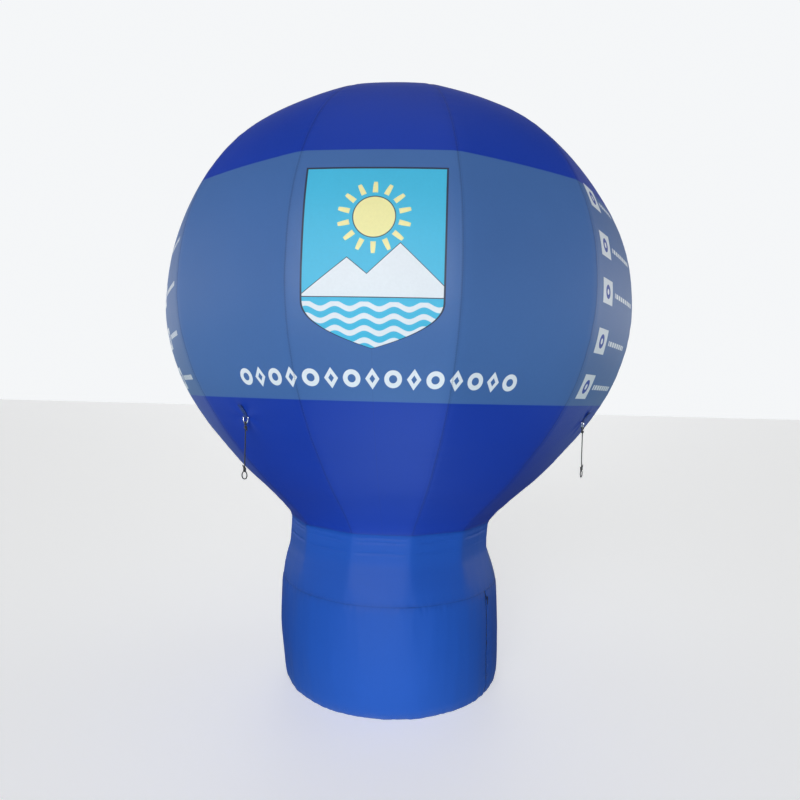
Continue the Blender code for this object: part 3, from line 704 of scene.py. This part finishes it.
def stitch_tree():
    """Small beads laid on the blown-up cloth, in rows up it or round it."""
    inputs = {
        "start": 0.0, "rows": 2, "row step": 0.0, "count": 100, "turn": 0.0, "first": 0.0, "climb": 0.0,
        "row climb": 0.0, "gap": 0.0, "bead length": 0.003, "bead width": 0.0005, "bead height": 0.0004,
    }
    tree, given = geometry_group("stitch_rows", {**inputs, **SKIN_INPUTS})
    points = node(tree, "GeometryNodeMeshLine", {"Count": given["rows"] * given["count"]})
    index = Field(node(tree, "GeometryNodeInputIndex"))
    row = maths("FLOOR", (index + 0.5) / given["count"])
    share = (index - row * given["count"] + 0.5) / given["count"]
    pair = maths("FLOOR", row * 0.5)
    side = (row - pair * 2.0 - 0.5) * 2.0
    factor = given["first"] + given["climb"] * share + given["row climb"] * row
    radius, _, _, out, up, _, length = sampled(given, factor)
    azimuth = given["start"] + given["row step"] * pair + given["turn"] * share
    azimuth += side * (given["gap"] / radius) * TO_DEGREES
    along = maths("SIGN", given["climb"])
    step = along * STITCH_REACH / length
    swing = (1.0 - along) * STITCH_REACH / radius * TO_DEGREES
    lift = given["bead height"] * 0.4
    before, after = (
        on_skin(given, azimuth + swing * way, factor + step * way, lift)[0] for way in (-1.0, 1.0)
    )
    middle = on_skin(given, azimuth, factor, lift)[0]
    run = node(tree, "ShaderNodeVectorMath", {0: after, 1: before}, operation="SUBTRACT")
    angle = azimuth * TO_RADIANS
    outward = joined(maths("SINE", angle) * out, maths("COSINE", angle) * out * -1.0, up)
    aim = node(tree, "FunctionNodeAlignRotationToVector", {"Vector": run}, axis="X")
    turned = {"Rotation": aim, "Vector": outward}
    seat = node(tree, "FunctionNodeAlignRotationToVector", turned, axis="Z", pivot_axis="X")
    put = node(tree, "GeometryNodeSetPosition", {"Geometry": points, "Position": middle})
    bead = node(tree, "GeometryNodeMeshUVSphere", {"Segments": 4, "Rings": 2, "Radius": 1.0})
    size = joined(given["bead length"], given["bead width"], given["bead height"])
    laid = node(tree, "GeometryNodeInstanceOnPoints", {
        "Points": put, "Instance": bead, "Rotation": seat, "Scale": size,
    })
    return end_tree(given, laid)


def sewn_rows(name, profile, slot_name, **sizes):
    rows = grown(name, profile, STITCH_TREE, **{**STITCH_SIZE, "material": NAVY_THREAD, **sizes})
    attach(rows, "envelope_and_base")


STITCH_TREE, NAVY_THREAD = stitch_tree(), new_thread("navy_thread", (0.008, 0.020, 0.110))
BLUE_THREAD = new_thread("blue_thread", (0.010, 0.052, 0.270))
whole_turn = dict(start=FIRST_SEAM, turn=360.0, rows=2)
sewn_rows(
    "gore_seam_stitches", gore_profile, "envelope_fabric", start=FIRST_SEAM, rows=2 * GORES,
    row_step=GORE_STEP, count=340, first=0.003, climb=0.955, gap=SEAM_GAP, **GLOBE_SHAPE,
)
sewn_rows(
    "neck_seam_stitches", gore_profile, "envelope_fabric", count=420, first=0.0012, row_climb=0.0020,
    **whole_turn, **GLOBE_SHAPE,
)
sewn_rows(
    "crown_stitches", crown_profile, "envelope_fabric", count=112, first=0.03, row_climb=0.04,
    **whole_turn, **CROWN_SHAPE,
)
sewn_rows(
    "base_seam_stitches", neck_profile, "drum_fabric", count=440, first=0.010, row_climb=0.018,
    material=BLUE_THREAD, **whole_turn, **NECK_SHAPE,
)
sewn_rows(
    "hem_stitches", drum_profile, "drum_fabric", count=440, first=0.035, row_climb=0.012, rows=2,
    material=BLUE_THREAD, start=ZIP_AZIMUTH + 1.2, turn=357.6, **DRUM_SHAPE,
)

# Zip closure
# A coarse coil zip in a slit of the drum wall lets the air out fast. Its navy tape, darkened nearly
# to black as painted shade inside the slit, is sewn behind the slit's two folded edges, and a black
# lacquered slider is parked at the top.

ZIP_TOP, SLIDER_HEIGHT, SLIDER_REACH = 0.975, 0.560, 0.676
TAPE_RIB, TAPE_COURSE = 0.0016, 0.0011
PLATED = dict(broad=(60.0, 0.08), fine=(900.0, 0.0), scratch=0.15, bump=0.00001, Metallic=1.0)
material, tree, shader = new_material("zip_tape", 0.75, Sheen_Weight=0.2)
uv = node(tree, "ShaderNodeUVMap", uv_map="cloth")
ribs, courses, _ = split(uv)
rib = maths("SINE", ribs * (math.tau / TAPE_RIB))
course = maths("SINE", courses * (math.tau / TAPE_COURSE))
# The tape is navy darkened nearly to black: partly its own colour, partly painted shade inside the slit.
feed(shader.inputs["Base Color"], shaded((0.003, 0.005, 0.016), 1.0 + rib * 0.15 + course * 0.1))
bumped(shader, rib * 0.00008 + course * 0.00005)
zip_tape = grown(
    "zip_tape", drum_profile, CLOTH_TREE, TAPE_THICK, start=ZIP_AZIMUTH - zip_half, sweep=2 * zip_half,
    columns=16, rows=120, material=material, lift=-0.0045, **DRUM_SHAPE,
)
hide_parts("zip_closure")
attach(zip_tape, "envelope_and_base")

COIL = grained("coil_plastic", (0.012, 0.014, 0.022), 0.35, fine=(400.0, 0.3))
teeth = dict(bead_length=0.0011, bead_width=0.0030, bead_height=0.0013, material=COIL)
sewn_rows(
    "zip_coil", drum_profile, "zip_tape", start=ZIP_AZIMUTH, rows=2, count=210, first=0.012,
    climb=ZIP_TOP, gap=0.0024, lift=-0.0035, **DRUM_SHAPE, **teeth,
)
sewn_rows(
    "zip_stitches", drum_profile, "drum_fabric", start=ZIP_AZIMUTH, rows=2, count=66, first=0.008,
    climb=0.985, gap=0.0115, **DRUM_SHAPE,
)


def tidied(name, shape, material, bevel=0.0):
    """A bmesh as a finished piece, with its faces outwards and its edges taken off."""
    bmesh.ops.remove_doubles(shape, verts=shape.verts, dist=1e-6)
    bmesh.ops.recalc_face_normals(shape, faces=shape.faces)
    mesh = bpy.data.meshes.new(name)
    shape.to_mesh(mesh)
    shape.free()
    mesh.materials.append(material)
    mesh.shade_smooth()
    mesh.set_sharp_from_angle(angle=math.radians(40))
    piece = bpy.data.objects.new(name, mesh)
    scene.collection.objects.link(piece)
    if bevel:
        edge = piece.modifiers.new("edge", "BEVEL")
        edge.width, edge.segments = bevel, 2
        edge.limit_method, edge.angle_limit = "ANGLE", math.radians(40)
        apply_modifiers(piece)
    return piece


def drawn_out(shape, outline, low, high, matrix):
    """A flat outline of (x, y) as a prism from one z to another, placed by a matrix."""
    rings = [[shape.verts.new(matrix @ Vector((x, y, z))) for x, y in outline] for z in (low, high)]
    for ring, turn in zip(rings, (-1, 1)):
        shape.faces.new(ring[::turn])
    for i in range(len(outline)):
        shape.faces.new((rings[0][i - 1], rings[0][i], rings[1][i], rings[1][i - 1]))


def wall_seat(azimuth, reach, height):
    """A frame on the drum's wall: X along it, Y up, Z outwards."""
    angle = math.radians(azimuth)
    outward = Vector((math.sin(angle), -math.cos(angle), 0.0))
    sideways = Vector((math.cos(angle), math.sin(angle), 0.0))
    seat = Matrix((sideways, Vector((0, 0, 1)), outward)).transposed().to_4x4()
    seat.translation = outward * reach + Vector((0, 0, height))
    return seat


def mirrored(half):
    """An outline from its right half, which runs upwards or downwards."""
    return half + [(-x, y) for x, y in reversed(half)]


seat = wall_seat(ZIP_AZIMUTH, SLIDER_REACH, SLIDER_HEIGHT)
shape = bmesh.new()
body = [(0.0035, -0.011), (0.0060, 0.000), (0.0058, 0.009), (0.0030, 0.011)]
drawn_out(shape, mirrored(body), -0.0015, 0.0012, seat)
drawn_out(shape, mirrored([(0.0014, -0.0060), (0.0014, 0.0060)]), 0.0012, 0.0042, seat)
pull = [(0.0022, 0.0), (0.0032, -0.012), (0.0042, -0.032), (0.0028, -0.036)]
drawn_out(shape, mirrored(pull), 0.0030, 0.0046, seat)
LACQUER = grained("black_lacquer", (0.030, 0.032, 0.045), 0.35, **PLATED)
slider = tidied("zip_slider_metal", shape, LACQUER, 0.0004)
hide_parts("zip_slider")
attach(slider, "envelope_and_base")

# Tie rings
# A welded D of chromed wire hangs from each tab on its straight bar, and swings up with the line.
# It turns on the part's own hinge.

RING_WIRE, RING_HALF_WIDTH, RING_DROP, RING_CORNER = 0.0025, 0.017, 0.032, 0.004
CHROME = grained("chromed_wire", (0.80, 0.80, 0.82), 0.10, **PLATED)


def swept_tree():
    """A line of edges as a wire or a laid rope: a lobed section carried along it and twisted."""
    inputs = {"radius": 0.0025, "sides": 12, "spacing": 0.002, "lobes": 3.0, "lobe depth": 0.0, "lay": 1.0}
    tree, given = geometry_group("swept_strand", inputs)
    line = node(tree, "GeometryNodeMeshToCurve", {0: given["Geometry"]})
    steps = {"Curve": line, "Length": given["spacing"]}
    fine = node(tree, "GeometryNodeResampleCurve", steps, mode="LENGTH")
    length = Field(node(tree, "GeometryNodeSplineParameter").outputs["Length"])
    tilt = length * math.tau / given["lay"]
    twisted = node(tree, "GeometryNodeSetCurveTilt", {"Curve": fine, "Tilt": tilt})
    sizes = {"Radius": 1.0, "Resolution": given["sides"]}
    round_one = node(tree, "GeometryNodeCurvePrimitiveCircle", sizes)
    x, y, _ = split(node(tree, "GeometryNodeInputPosition"))
    lobe = maths("COSINE", maths("ARCTAN2", y, x) * given["lobes"]) * given["lobe depth"]
    size = given["radius"] * (1.0 + lobe)
    lobed = joined(x * size, y * size)
    section = node(tree, "GeometryNodeSetPosition", {"Geometry": round_one, "Position": lobed})
    parts = {"Curve": twisted, "Profile Curve": section, "Fill Caps": True}
    return end_tree(given, node(tree, "GeometryNodeCurveToMesh", parts))


def line_mesh(name, points, closed=False):
    mesh = bpy.data.meshes.new(name)
    edges = [(i, i + 1) for i in range(len(points) - 1)] + ([(len(points) - 1, 0)] if closed else [])
    mesh.from_pydata([tuple(p) for p in points], edges, [])
    return mesh


def ring_points():
    drop, inner = RING_DROP - RING_CORNER, RING_HALF_WIDTH - RING_CORNER
    corner = [math.radians(15 * i) for i in range(1, 7)]
    points = [(-inner, 0.0), (0.0, 0.0), (inner, 0.0)]
    points += [(inner + RING_CORNER * math.sin(a), RING_CORNER * (math.cos(a) - 1)) for a in corner]
    bow = [math.pi * i / 32 for i in range(1, 32)]
    points += [(RING_HALF_WIDTH * math.cos(a), -RING_CORNER - drop * math.sin(a)) for a in bow]
    points += [(-inner - RING_CORNER * math.sin(a), RING_CORNER * (math.cos(a) - 1)) for a in corner[::-1]]
    return [Vector((x, 0, z)) for x, z in points]


def joint_seat(place):
    """The frame of a ring's hinge: its bar along X, the wall's inside along Y."""
    joint = next(j for j in frame["joints"] if j["name"] == f"ring_swing_{place}")
    side = -Vector(joint["axis"]).normalized()
    seat = Matrix((side, Vector((0, 0, 1)).cross(side), Vector((0, 0, 1)))).transposed().to_4x4()
    seat.translation = Vector(joint["pos_m"])
    return seat


SWEPT_TREE = swept_tree()
for place in TIES:
    points = [joint_seat(place) @ p for p in ring_points()]
    ring = grown(
        f"d_ring_{place}", line_mesh("ring_line", points, True), SWEPT_TREE, radius=RING_WIRE, sides=16,
        spacing=0.0012, material=CHROME,
    )
    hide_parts(f"tie_ring_{place}")
    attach(ring, f"tie_ring_{place}")

# Guy lines
# Black laid polypropylene rope, hitched to the ring and whipped round itself, with a loop tied in
# its lower end for the next length of line.

ROPE_RADIUS, ROPE_LAY, WRAP_RADIUS, HITCH_RADIUS = 0.0030, 0.020, 0.0052, 0.0062
LINE_LENGTH, LOOP_RADIUS = 0.250, 0.018
ROPE_BLACK = (0.016, 0.017, 0.020)
ROPE = grained("black_rope", ROPE_BLACK, 0.6, fine=(1400.0, 0.5), bump=0.00015, Sheen_Weight=0.4)


def wraps(top, bottom, turns, start=0.0):
    """A helix round the standing line, from one height to another."""
    steps = int(16 * turns)
    for i in range(steps + 1):
        share = i / steps
        angle = start + math.tau * turns * share
        height = top + (bottom - top) * share
        yield Vector((WRAP_RADIUS * math.cos(angle), WRAP_RADIUS * math.sin(angle), height))


def guy_line_points():
    """Tail, wraps, hitch round the ring's bow, the line down, the end loop, wraps and tail."""
    top, low = -RING_DROP - 0.0130, -LINE_LENGTH
    points = [Vector((0.0088, 0.0030, top - 0.0220)), Vector((0.0072, 0.0010, top - 0.0160))]
    points += list(wraps(top - 0.0120, top, 2.5))
    for a in (math.radians(degrees) for degrees in range(-60, 271, 22)):
        points.append(Vector((0.0, HITCH_RADIUS * math.cos(a), HITCH_RADIUS * math.sin(a) - RING_DROP)))
    points += [Vector((0, 0, z)) for z in (top - 0.002, 0.5 * (top + low), low - 0.004)]
    middle = low - 0.011 - LOOP_RADIUS
    for a in (math.radians(degrees) for degrees in range(70, 411, 20)):
        points.append(Vector((LOOP_RADIUS * math.cos(a), 0.0, middle + LOOP_RADIUS * math.sin(a))))
    points += list(wraps(low - 0.0085, low + 0.0080, 2.5, math.pi / 2))
    end = points[-1]
    return points + [end + Vector((-0.0020, -0.0020, 0.0060)), end + Vector((-0.0050, -0.0030, 0.0130))]


for place in TIES:
    points = [joint_seat(place) @ p for p in guy_line_points()]
    line = grown(
        f"guy_line_{place}_rope", line_mesh("guy_line_path", points), SWEPT_TREE, radius=ROPE_RADIUS * 0.93,
        sides=15, spacing=0.0020, lobe_depth=0.13, lay=ROPE_LAY, material=ROPE,
    )
    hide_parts(f"guy_line_{place}")
    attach(line, f"tie_ring_{place}")

# Tie tabs
# A length of ribbed blue webbing is folded over each ring's bar, and its two ends are sewn flat to
# the gore with a box and a cross of pale thread.

TAB_WIDTH, TAB_LENGTH, WEBBING_THICK, STRAP_MIDDLE = 0.024, 0.068, 0.0013, 0.069
WEBBING_RIB, HERRINGBONE, BOX_HALF_WIDTH, BOX_HALF_LENGTH = 0.0028, 0.003, 0.0084, 0.0145
FOLD_RADIUS, UNDER_PLY, OVER_PLY, WALL_SLOPE = 0.0036, -0.0066, -0.0053, math.atan2(0.65, 0.76)
material, tree, shader = new_material("blue_webbing", 0.75)
uv = node(tree, "ShaderNodeUVMap", uv_map="webbing")
across, along, _ = split(uv)
off_middle = abs(across)
herring = maths("PINGPONG", off_middle, HERRINGBONE)
rib = maths("SINE", (along + herring * 0.7) * (math.tau / WEBBING_RIB))
selvedge = inside(off_middle - 0.0104, 0.0006)
up_strap = abs(abs(along - STRAP_MIDDLE) - 0.047)
off_lines = (off_middle - BOX_HALF_WIDTH, up_strap - BOX_HALF_LENGTH, off_middle - up_strap * 0.58)
box = inside(BOX_HALF_WIDTH + 0.0004 - off_middle) * inside(BOX_HALF_LENGTH + 0.0005 - up_strap)
sewn = most(*(bell(off, 0.0006) for off in off_lines)) * box
sewn *= inside(maths("PINGPONG", along + across, 0.0016) - 0.00035, 0.0004)
strap = shaded((0.010, 0.040, 0.210), 1.0 + rib * 0.32 - selvedge * 0.35)
feed(shader.inputs["Base Color"], mixed(sewn, strap, (0.16, 0.24, 0.46)))
bumped(shader, rib * 0.00022 + selvedge * 0.0004 + sewn * 0.0005)
WEBBING = material


def webbing_path():
    """The strap's middle from its lower end up the wall, round the bar and back, as (up, out)."""
    path = [(up, UNDER_PLY) for up in (TAB_LENGTH, 0.050, 0.030)] + [(0.014, -0.0064), (0.006, -0.0055)]
    for a in (math.radians(degrees) for degrees in range(-80, -300, -20)):
        path.append((FOLD_RADIUS * math.cos(a), FOLD_RADIUS * math.sin(a)))
    path += [(0.0060, 0.0010), (0.011, -0.0028), (0.018, -0.0048)]
    return path + [(up, OVER_PLY) for up in (0.030, 0.050, TAB_LENGTH)]


for place in TIES:
    seat = joint_seat(place)
    path = webbing_path()
    shape = bmesh.new()
    layer = shape.loops.layers.uv.new("webbing")
    side, inward = seat.col[0].to_3d(), seat.col[1].to_3d()
    up = Vector((0, 0, math.cos(WALL_SLOPE))) - inward * math.sin(WALL_SLOPE)
    out = Vector((0, 0, -math.sin(WALL_SLOPE))) - inward * math.cos(WALL_SLOPE)
    length, rows = 0.0, []
    for i, (u, o) in enumerate(path):
        if i:
            length += math.dist(path[i - 1], path[i])
        middle = seat.translation + up * u + out * o
        offsets = [0.5 * TAB_WIDTH * share for share in (-1, -0.94, -0.5, 0, 0.5, 0.94, 1)]
        rows.append([(shape.verts.new(middle + side * offset), offset, length) for offset in offsets])
    for below, over in zip(rows, rows[1:]):
        for i in range(len(below) - 1):
            corners = (below[i], below[i + 1], over[i + 1], over[i])
            face = shape.faces.new([c[0] for c in corners])
            for loop, corner in zip(face.loops, corners):
                loop[layer].uv = corner[1:]
    tab = tidied(f"webbing_tab_{place}", shape, WEBBING)
    thick = tab.modifiers.new("thickness", "SOLIDIFY")
    thick.thickness, thick.offset = WEBBING_THICK, 0.0
    apply_modifiers(tab)
    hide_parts(f"tie_tab_{place}")
    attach(tab, "envelope_and_base")

# Air intake
# A moulded black collar is screwed through a ring of doubled cloth in the rear of the drum wall,
# on the axis of the blower. A wire guard sits in its mouth.

INTAKE_HEIGHT, COLLAR_BORE, INTAKE_RADIUS, LIP_RADIUS = 0.270, 0.140, 0.1495, 0.160
COLLAR_BACK, COLLAR_FRONT, SCREWS, SCREW_CIRCLE, SCREW_HEAD = 0.5605, 0.700, 12, 0.1545, 0.0042
GROMMET_AZIMUTH, GROMMET_REACH, GROMMET_HEIGHT, GROMMET_RADIUS = 163.0, 0.666, 0.060, 0.016
REINFORCED, REINFORCED_STEPS = (0.153, 0.160, 0.178, 0.196, 0.203), 144
REINFORCED_ROWS = (0.1985, 0.1945)
MOULDED = dict(broad=(12.0, 0.12), fine=(900.0, 0.0), gloss=0.06, bump=0.00004, dusty=True)
intake_axis = Matrix.Translation((0, 0, INTAKE_HEIGHT)) @ Matrix.Rotation(-math.pi / 2, 4, "X")


def circle(radius, height, steps, first=0.0):
    """Points round the Z axis, the first of them a share of a step on from X."""
    angles = [math.tau * (i + first) / steps for i in range(steps)]
    return [Vector((radius * math.cos(a), radius * math.sin(a), height)) for a in angles]


def banded(shape, rings):
    """Faces between rings of vertices that all have the same number."""
    for below, over in zip(rings, rings[1:]):
        for i in range(len(below)):
            shape.faces.new((below[i - 1], below[i], over[i], over[i - 1]))


def turned_rings(shape, profile, steps, matrix, first=0.0):
    """The rings of an outline of (radius, height) turned about the Z axis of a matrix."""
    return [[shape.verts.new(matrix @ p) for p in circle(r, z, steps, first)] for r, z in profile]


def cut(piece, name, radius, depth, matrix):
    """A round hole through a piece."""
    shape = bmesh.new()
    sizes = dict(segments=96, radius1=radius, radius2=radius, depth=depth)
    bmesh.ops.create_cone(shape, cap_ends=True, matrix=matrix, **sizes)
    tool = tidied(name, shape, DRUM_CLOTH)
    hole = piece.modifiers.new("hole", "BOOLEAN")
    hole.operation, hole.object = "DIFFERENCE", tool
    apply_modifiers(piece)
    bpy.data.objects.remove(tool)


cut(drum, "intake_cut", INTAKE_RADIUS, 0.3, intake_axis @ Matrix.Translation((0, 0, COLLAR_FRONT)))
cut(drum, "grommet_cut", GROMMET_RADIUS, 0.1, wall_seat(GROMMET_AZIMUTH, GROMMET_REACH, GROMMET_HEIGHT))

material, tree, shader = new_material("reinforcing_cloth", CLOTH_ROUGHNESS)
shader.inputs["Specular IOR Level"].default_value = PLAIN_GLOSS
x, _, z = split(object_place(tree))
z = z - INTAKE_HEIGHT
from_axis, turn = distance(x, z), maths("ARCTAN2", x, z)
stitch_lines = most(*(bell(from_axis - row, 0.0006) for row in REINFORCED_ROWS))
sewn = stitch_lines * inside(maths("PINGPONG", turn, 0.013) - 0.003, 0.002)
cloth_surface(material, tree, shader, mixed(sewn, DRUM_BLUE, (0.008, 0.020, 0.110)), False)
drum_surface = BVHTree.FromObject(drum, bpy.context.evaluated_depsgraph_get())
shape = bmesh.new()
rim_layer = shape.verts.layers.float.new("rim")
uv_layer = shape.loops.layers.uv.new("cloth")
loops = []
for radius in REINFORCED:
    loops.append([])
    for i in range(REINFORCED_STEPS):
        angle = math.tau * i / REINFORCED_STEPS
        start = Vector((radius * math.sin(angle), 2.0, INTAKE_HEIGHT + radius * math.cos(angle)))
        on_wall, normal, _, _ = drum_surface.ray_cast(start, Vector((0, -1, 0)))
        vertex = shape.verts.new(on_wall + normal * 0.0012)
        # Distance in from the patch's outer edge, along which cloth_surface paints shade.
        vertex[rim_layer] = REINFORCED[-1] - radius
        loops[-1].append(vertex)
banded(shape, loops)
for face in shape.faces:
    for loop in face.loops:
        loop[uv_layer].uv = (loop.vert.co.x, loop.vert.co.z)
reinforcement = tidied("intake_reinforcement", shape, material)
doubled = reinforcement.modifiers.new("thickness", "SOLIDIFY")
doubled.thickness, doubled.offset = 0.0008, 0.0
apply_modifiers(reinforcement)
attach(reinforcement, "envelope_and_base")

BLACK_PLASTIC = grained("black_plastic", (0.018, 0.018, 0.020), 0.42, **MOULDED)
collar_outline = [(r, COLLAR_FRONT - back) for r, back in (
    (LIP_RADIUS - 0.002, 0.0), (LIP_RADIUS, 0.002), (LIP_RADIUS, 0.007), (LIP_RADIUS - 0.001, 0.010),
    (INTAKE_RADIUS, 0.010), (INTAKE_RADIUS - 0.001, COLLAR_FRONT - COLLAR_BACK),
    (COLLAR_BORE, COLLAR_FRONT - COLLAR_BACK), (COLLAR_BORE, 0.006), (COLLAR_BORE + 0.004, 0.0015),
    (COLLAR_BORE + 0.008, 0.0), (LIP_RADIUS - 0.002, 0.0),
)]
shape = bmesh.new()
banded(shape, turned_rings(shape, collar_outline, 128, intake_axis))
collar = tidied("intake_collar_moulding", shape, BLACK_PLASTIC)
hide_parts("intake_collar")
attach(collar, "envelope_and_base")


def ring_of_tree():
    """A start mesh repeated round the Z axis at a radius, and the whole ring at a height."""
    tree, given = geometry_group("ring_of_pieces", {"count": 12, "ring radius": 0.1, "height": 0.0})
    places = {"Vertices": given["count"], "Radius": given["ring radius"]}
    around = node(tree, "GeometryNodeMeshCircle", places)
    turn = Field(node(tree, "GeometryNodeInputIndex")) * math.tau / given["count"]
    lift = joined(0.0, 0.0, given["height"])
    lifted = node(tree, "GeometryNodeSetPosition", {"Geometry": around, "Offset": lift})
    parts = {"Points": lifted, "Instance": given["Geometry"], "Rotation": joined(0.0, 0.0, turn)}
    return end_tree(given, node(tree, "GeometryNodeInstanceOnPoints", parts))


def screw_head_mesh():
    """A pan head with a cross slot pressed in, on its seat at the origin, facing up."""
    shape = bmesh.new()
    outline = ((1.0, 0.0), (1.0, 0.25), (0.86, 0.45), (0.50, 0.56), (0.44, 0.57), (0.16, 0.12))
    rings = turned_rings(shape, outline, 16, Matrix.Scale(SCREW_HEAD, 4), 0.5)
    for i, vertex in enumerate(rings[4]):
        if i % 4 in (3, 0):
            vertex.co.xy *= 0.48 / 0.44
    banded(shape, rings)
    shape.faces.new(rings[0][::-1])
    shape.faces.new(rings[-1])
    mesh = bpy.data.meshes.new("screw_head")
    shape.to_mesh(mesh)
    shape.free()
    return mesh


RING_TREE = ring_of_tree()
ZINC = grained("zinc_plate", (0.55, 0.56, 0.57), 0.30, **PLATED)
screws = grown(
    "collar_screws", screw_head_mesh(), RING_TREE, count=SCREWS, ring_radius=SCREW_CIRCLE,
    height=COLLAR_FRONT - 0.0004, material=ZINC,
)
screws.data.transform(intake_axis)
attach(screws, "envelope_and_base")

# Intake guard
# Galvanised wire rings, powder-coated grey, are welded on six spokes with a pressed disc in the
# middle. The guard sits in the collar's mouth and keeps hands and leaves out of the impeller.

GUARD_RINGS = [0.0265 + 0.0089 * i for i in range(13)]
GUARD_WIRE, GUARD_SPOKES, SPOKE_WIRE, GUARD_DISC, GUARD_DEPTH = 0.0011, 6, 0.0018, 0.022, 0.690
STEEL = grained(
    "painted_steel", (0.115, 0.120, 0.125), 0.42, broad=(25.0, 0.15), fine=(700.0, 0.0), gloss=0.08,
    bump=0.00006, Metallic=0.3,
)
wires = []
for radius in GUARD_RINGS:
    thick = GUARD_WIRE if radius < GUARD_RINGS[-1] else SPOKE_WIRE
    wires.append((circle(radius, GUARD_DEPTH, 96), True, thick))
for i in range(GUARD_SPOKES):
    ends = (0.015, 0.06, 0.10, 0.1385)
    wires.append(([circle(r, GUARD_DEPTH - 0.0026, GUARD_SPOKES)[i] for r in ends], False, SPOKE_WIRE))
shape = bmesh.new()
for points, closed, radius in wires:
    path = line_mesh("guard_line", [intake_axis @ p for p in points], closed)
    wire = grown("guard_wire", path, SWEPT_TREE, radius=radius, sides=8, spacing=0.006, material=STEEL)
    shape.from_mesh(wire.data)
    bpy.data.objects.remove(wire)
disc = [(GUARD_DISC, -0.0006), (GUARD_DISC, 0.0006), (0.016, 0.0026), (0.0005, 0.0030), (0.0005, -0.0006)]
rings = turned_rings(shape, [(r, GUARD_DEPTH + z) for r, z in disc], 40, intake_axis)
banded(shape, rings + rings[:1])
guard = tidied("wire_guard", shape, STEEL)
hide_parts("intake_guard")
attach(guard, "envelope_and_base")

# Blower
# A moulded housing and impeller on a closed motor, in a bent steel cradle on the drum's floor.
# The solids have the right shapes, so they keep them and get their finishes.

finishes = {
    "blower_housing": BLACK_PLASTIC,
    "blower_impeller": grained("grey_plastic", (0.30, 0.31, 0.33), 0.5, **MOULDED),
    "blower_motor": STEEL,
    "blower_cradle": STEEL,
    "cable_grommet": grained("rubber", (0.014, 0.014, 0.015), 0.75, **MOULDED),
}
for name, finish in finishes.items():
    materials = frame["nodes"][name].data.materials
    for i in range(len(materials)):
        materials[i] = finish

# Floor and light
# A pale studio floor in a white surround. The light is soft: large bright patches far away, the
# strongest of them behind the camera, light given back by the floor, and one weak lamp overhead.

FLOOR_HALF, HAZE = 60.0, (0.97, 0.985, 1.0, 1.0)
floor_mesh = bpy.data.meshes.new("studio_floor")
corners = [(-1, -1), (1, -1), (1, 1), (-1, 1)]
floor_mesh.from_pydata([(FLOOR_HALF * x, FLOOR_HALF * y, -0.0005) for x, y in corners], [], [(0, 1, 2, 3)])
floor = bpy.data.objects.new("studio_floor", floor_mesh)
scene.collection.objects.link(floor)
material, tree, shader = new_material("studio_floor", 0.6, Emission_Strength=1.0)
place = object_place(tree)
x, y, z = split(place)
grain = use_group(tree, MOTTLE, Vector=place)
seen = Field(tree.nodes.new("ShaderNodeLightPath").outputs["Is Camera Ray"])
tone = (0.14 + seen * 0.66) * (1.0 + grain["Fine"] * 0.01)
feed(shader.inputs["Base Color"], joined(tone, tone, tone))
far = most(inside(abs(x) - 3.2, 2.0), inside(y - 3.5, 3.0))
glow = bell(x, 0.7) * bell(y + 2.2, 1.6) * 2.1 + far * 0.45
glow = [seen * 0.46 + (1.0 - seen) * glow * tint for tint in (0.70, 1.0, 1.10)]
feed(shader.inputs["Emission Color"], joined(*glow))
floor_mesh.materials.append(material)

world = bpy.data.worlds.new("studio")
scene.world = world
world.use_nodes = True
tree = world.node_tree
x, y, z = split(tree.nodes.new("ShaderNodeTexCoord").outputs["Generated"])
seen = Field(tree.nodes.new("ShaderNodeLightPath").outputs["Is Camera Ray"])


def soft_box(azimuth, elevation, width, strength):
    """A large soft light far away, as a bright patch of the surround that no camera sees."""
    turn, rise = math.radians(azimuth), math.radians(elevation)
    aim = (math.sin(turn) * math.cos(rise), -math.cos(turn) * math.cos(rise), math.sin(rise))
    toward = x * aim[0] + y * aim[1] + z * aim[2]
    return maths("EXPONENT", (toward - 1.0) * (2.0 / width**2)) * strength


light = 0.05 + bell(z, 0.30) * (0.08 + inside(y + 0.1, 0.7) * 0.85)
for patch in ((-14, 4, 0.33, 11.0), (180, 17, 0.40, 1.5), (106, 2, 0.32, 2.4), (-106, 2, 0.32, 1.3)):
    light += soft_box(*patch)
feed(tree.nodes["Background"].inputs["Strength"], light * (1.0 - seen) + seen * 0.94)
tree.nodes["Background"].inputs["Color"].default_value = HAZE

overhead = bpy.data.lights.new("overhead", "AREA")
overhead.shape, overhead.size, overhead.energy = "DISK", 6.0, 25
lamp = bpy.data.objects.new("overhead", overhead)
lamp.location = (0.0, -1.0, 9.0)
lamp.visible_camera = False
scene.collection.objects.link(lamp)
scene.view_settings.view_transform = "Standard"
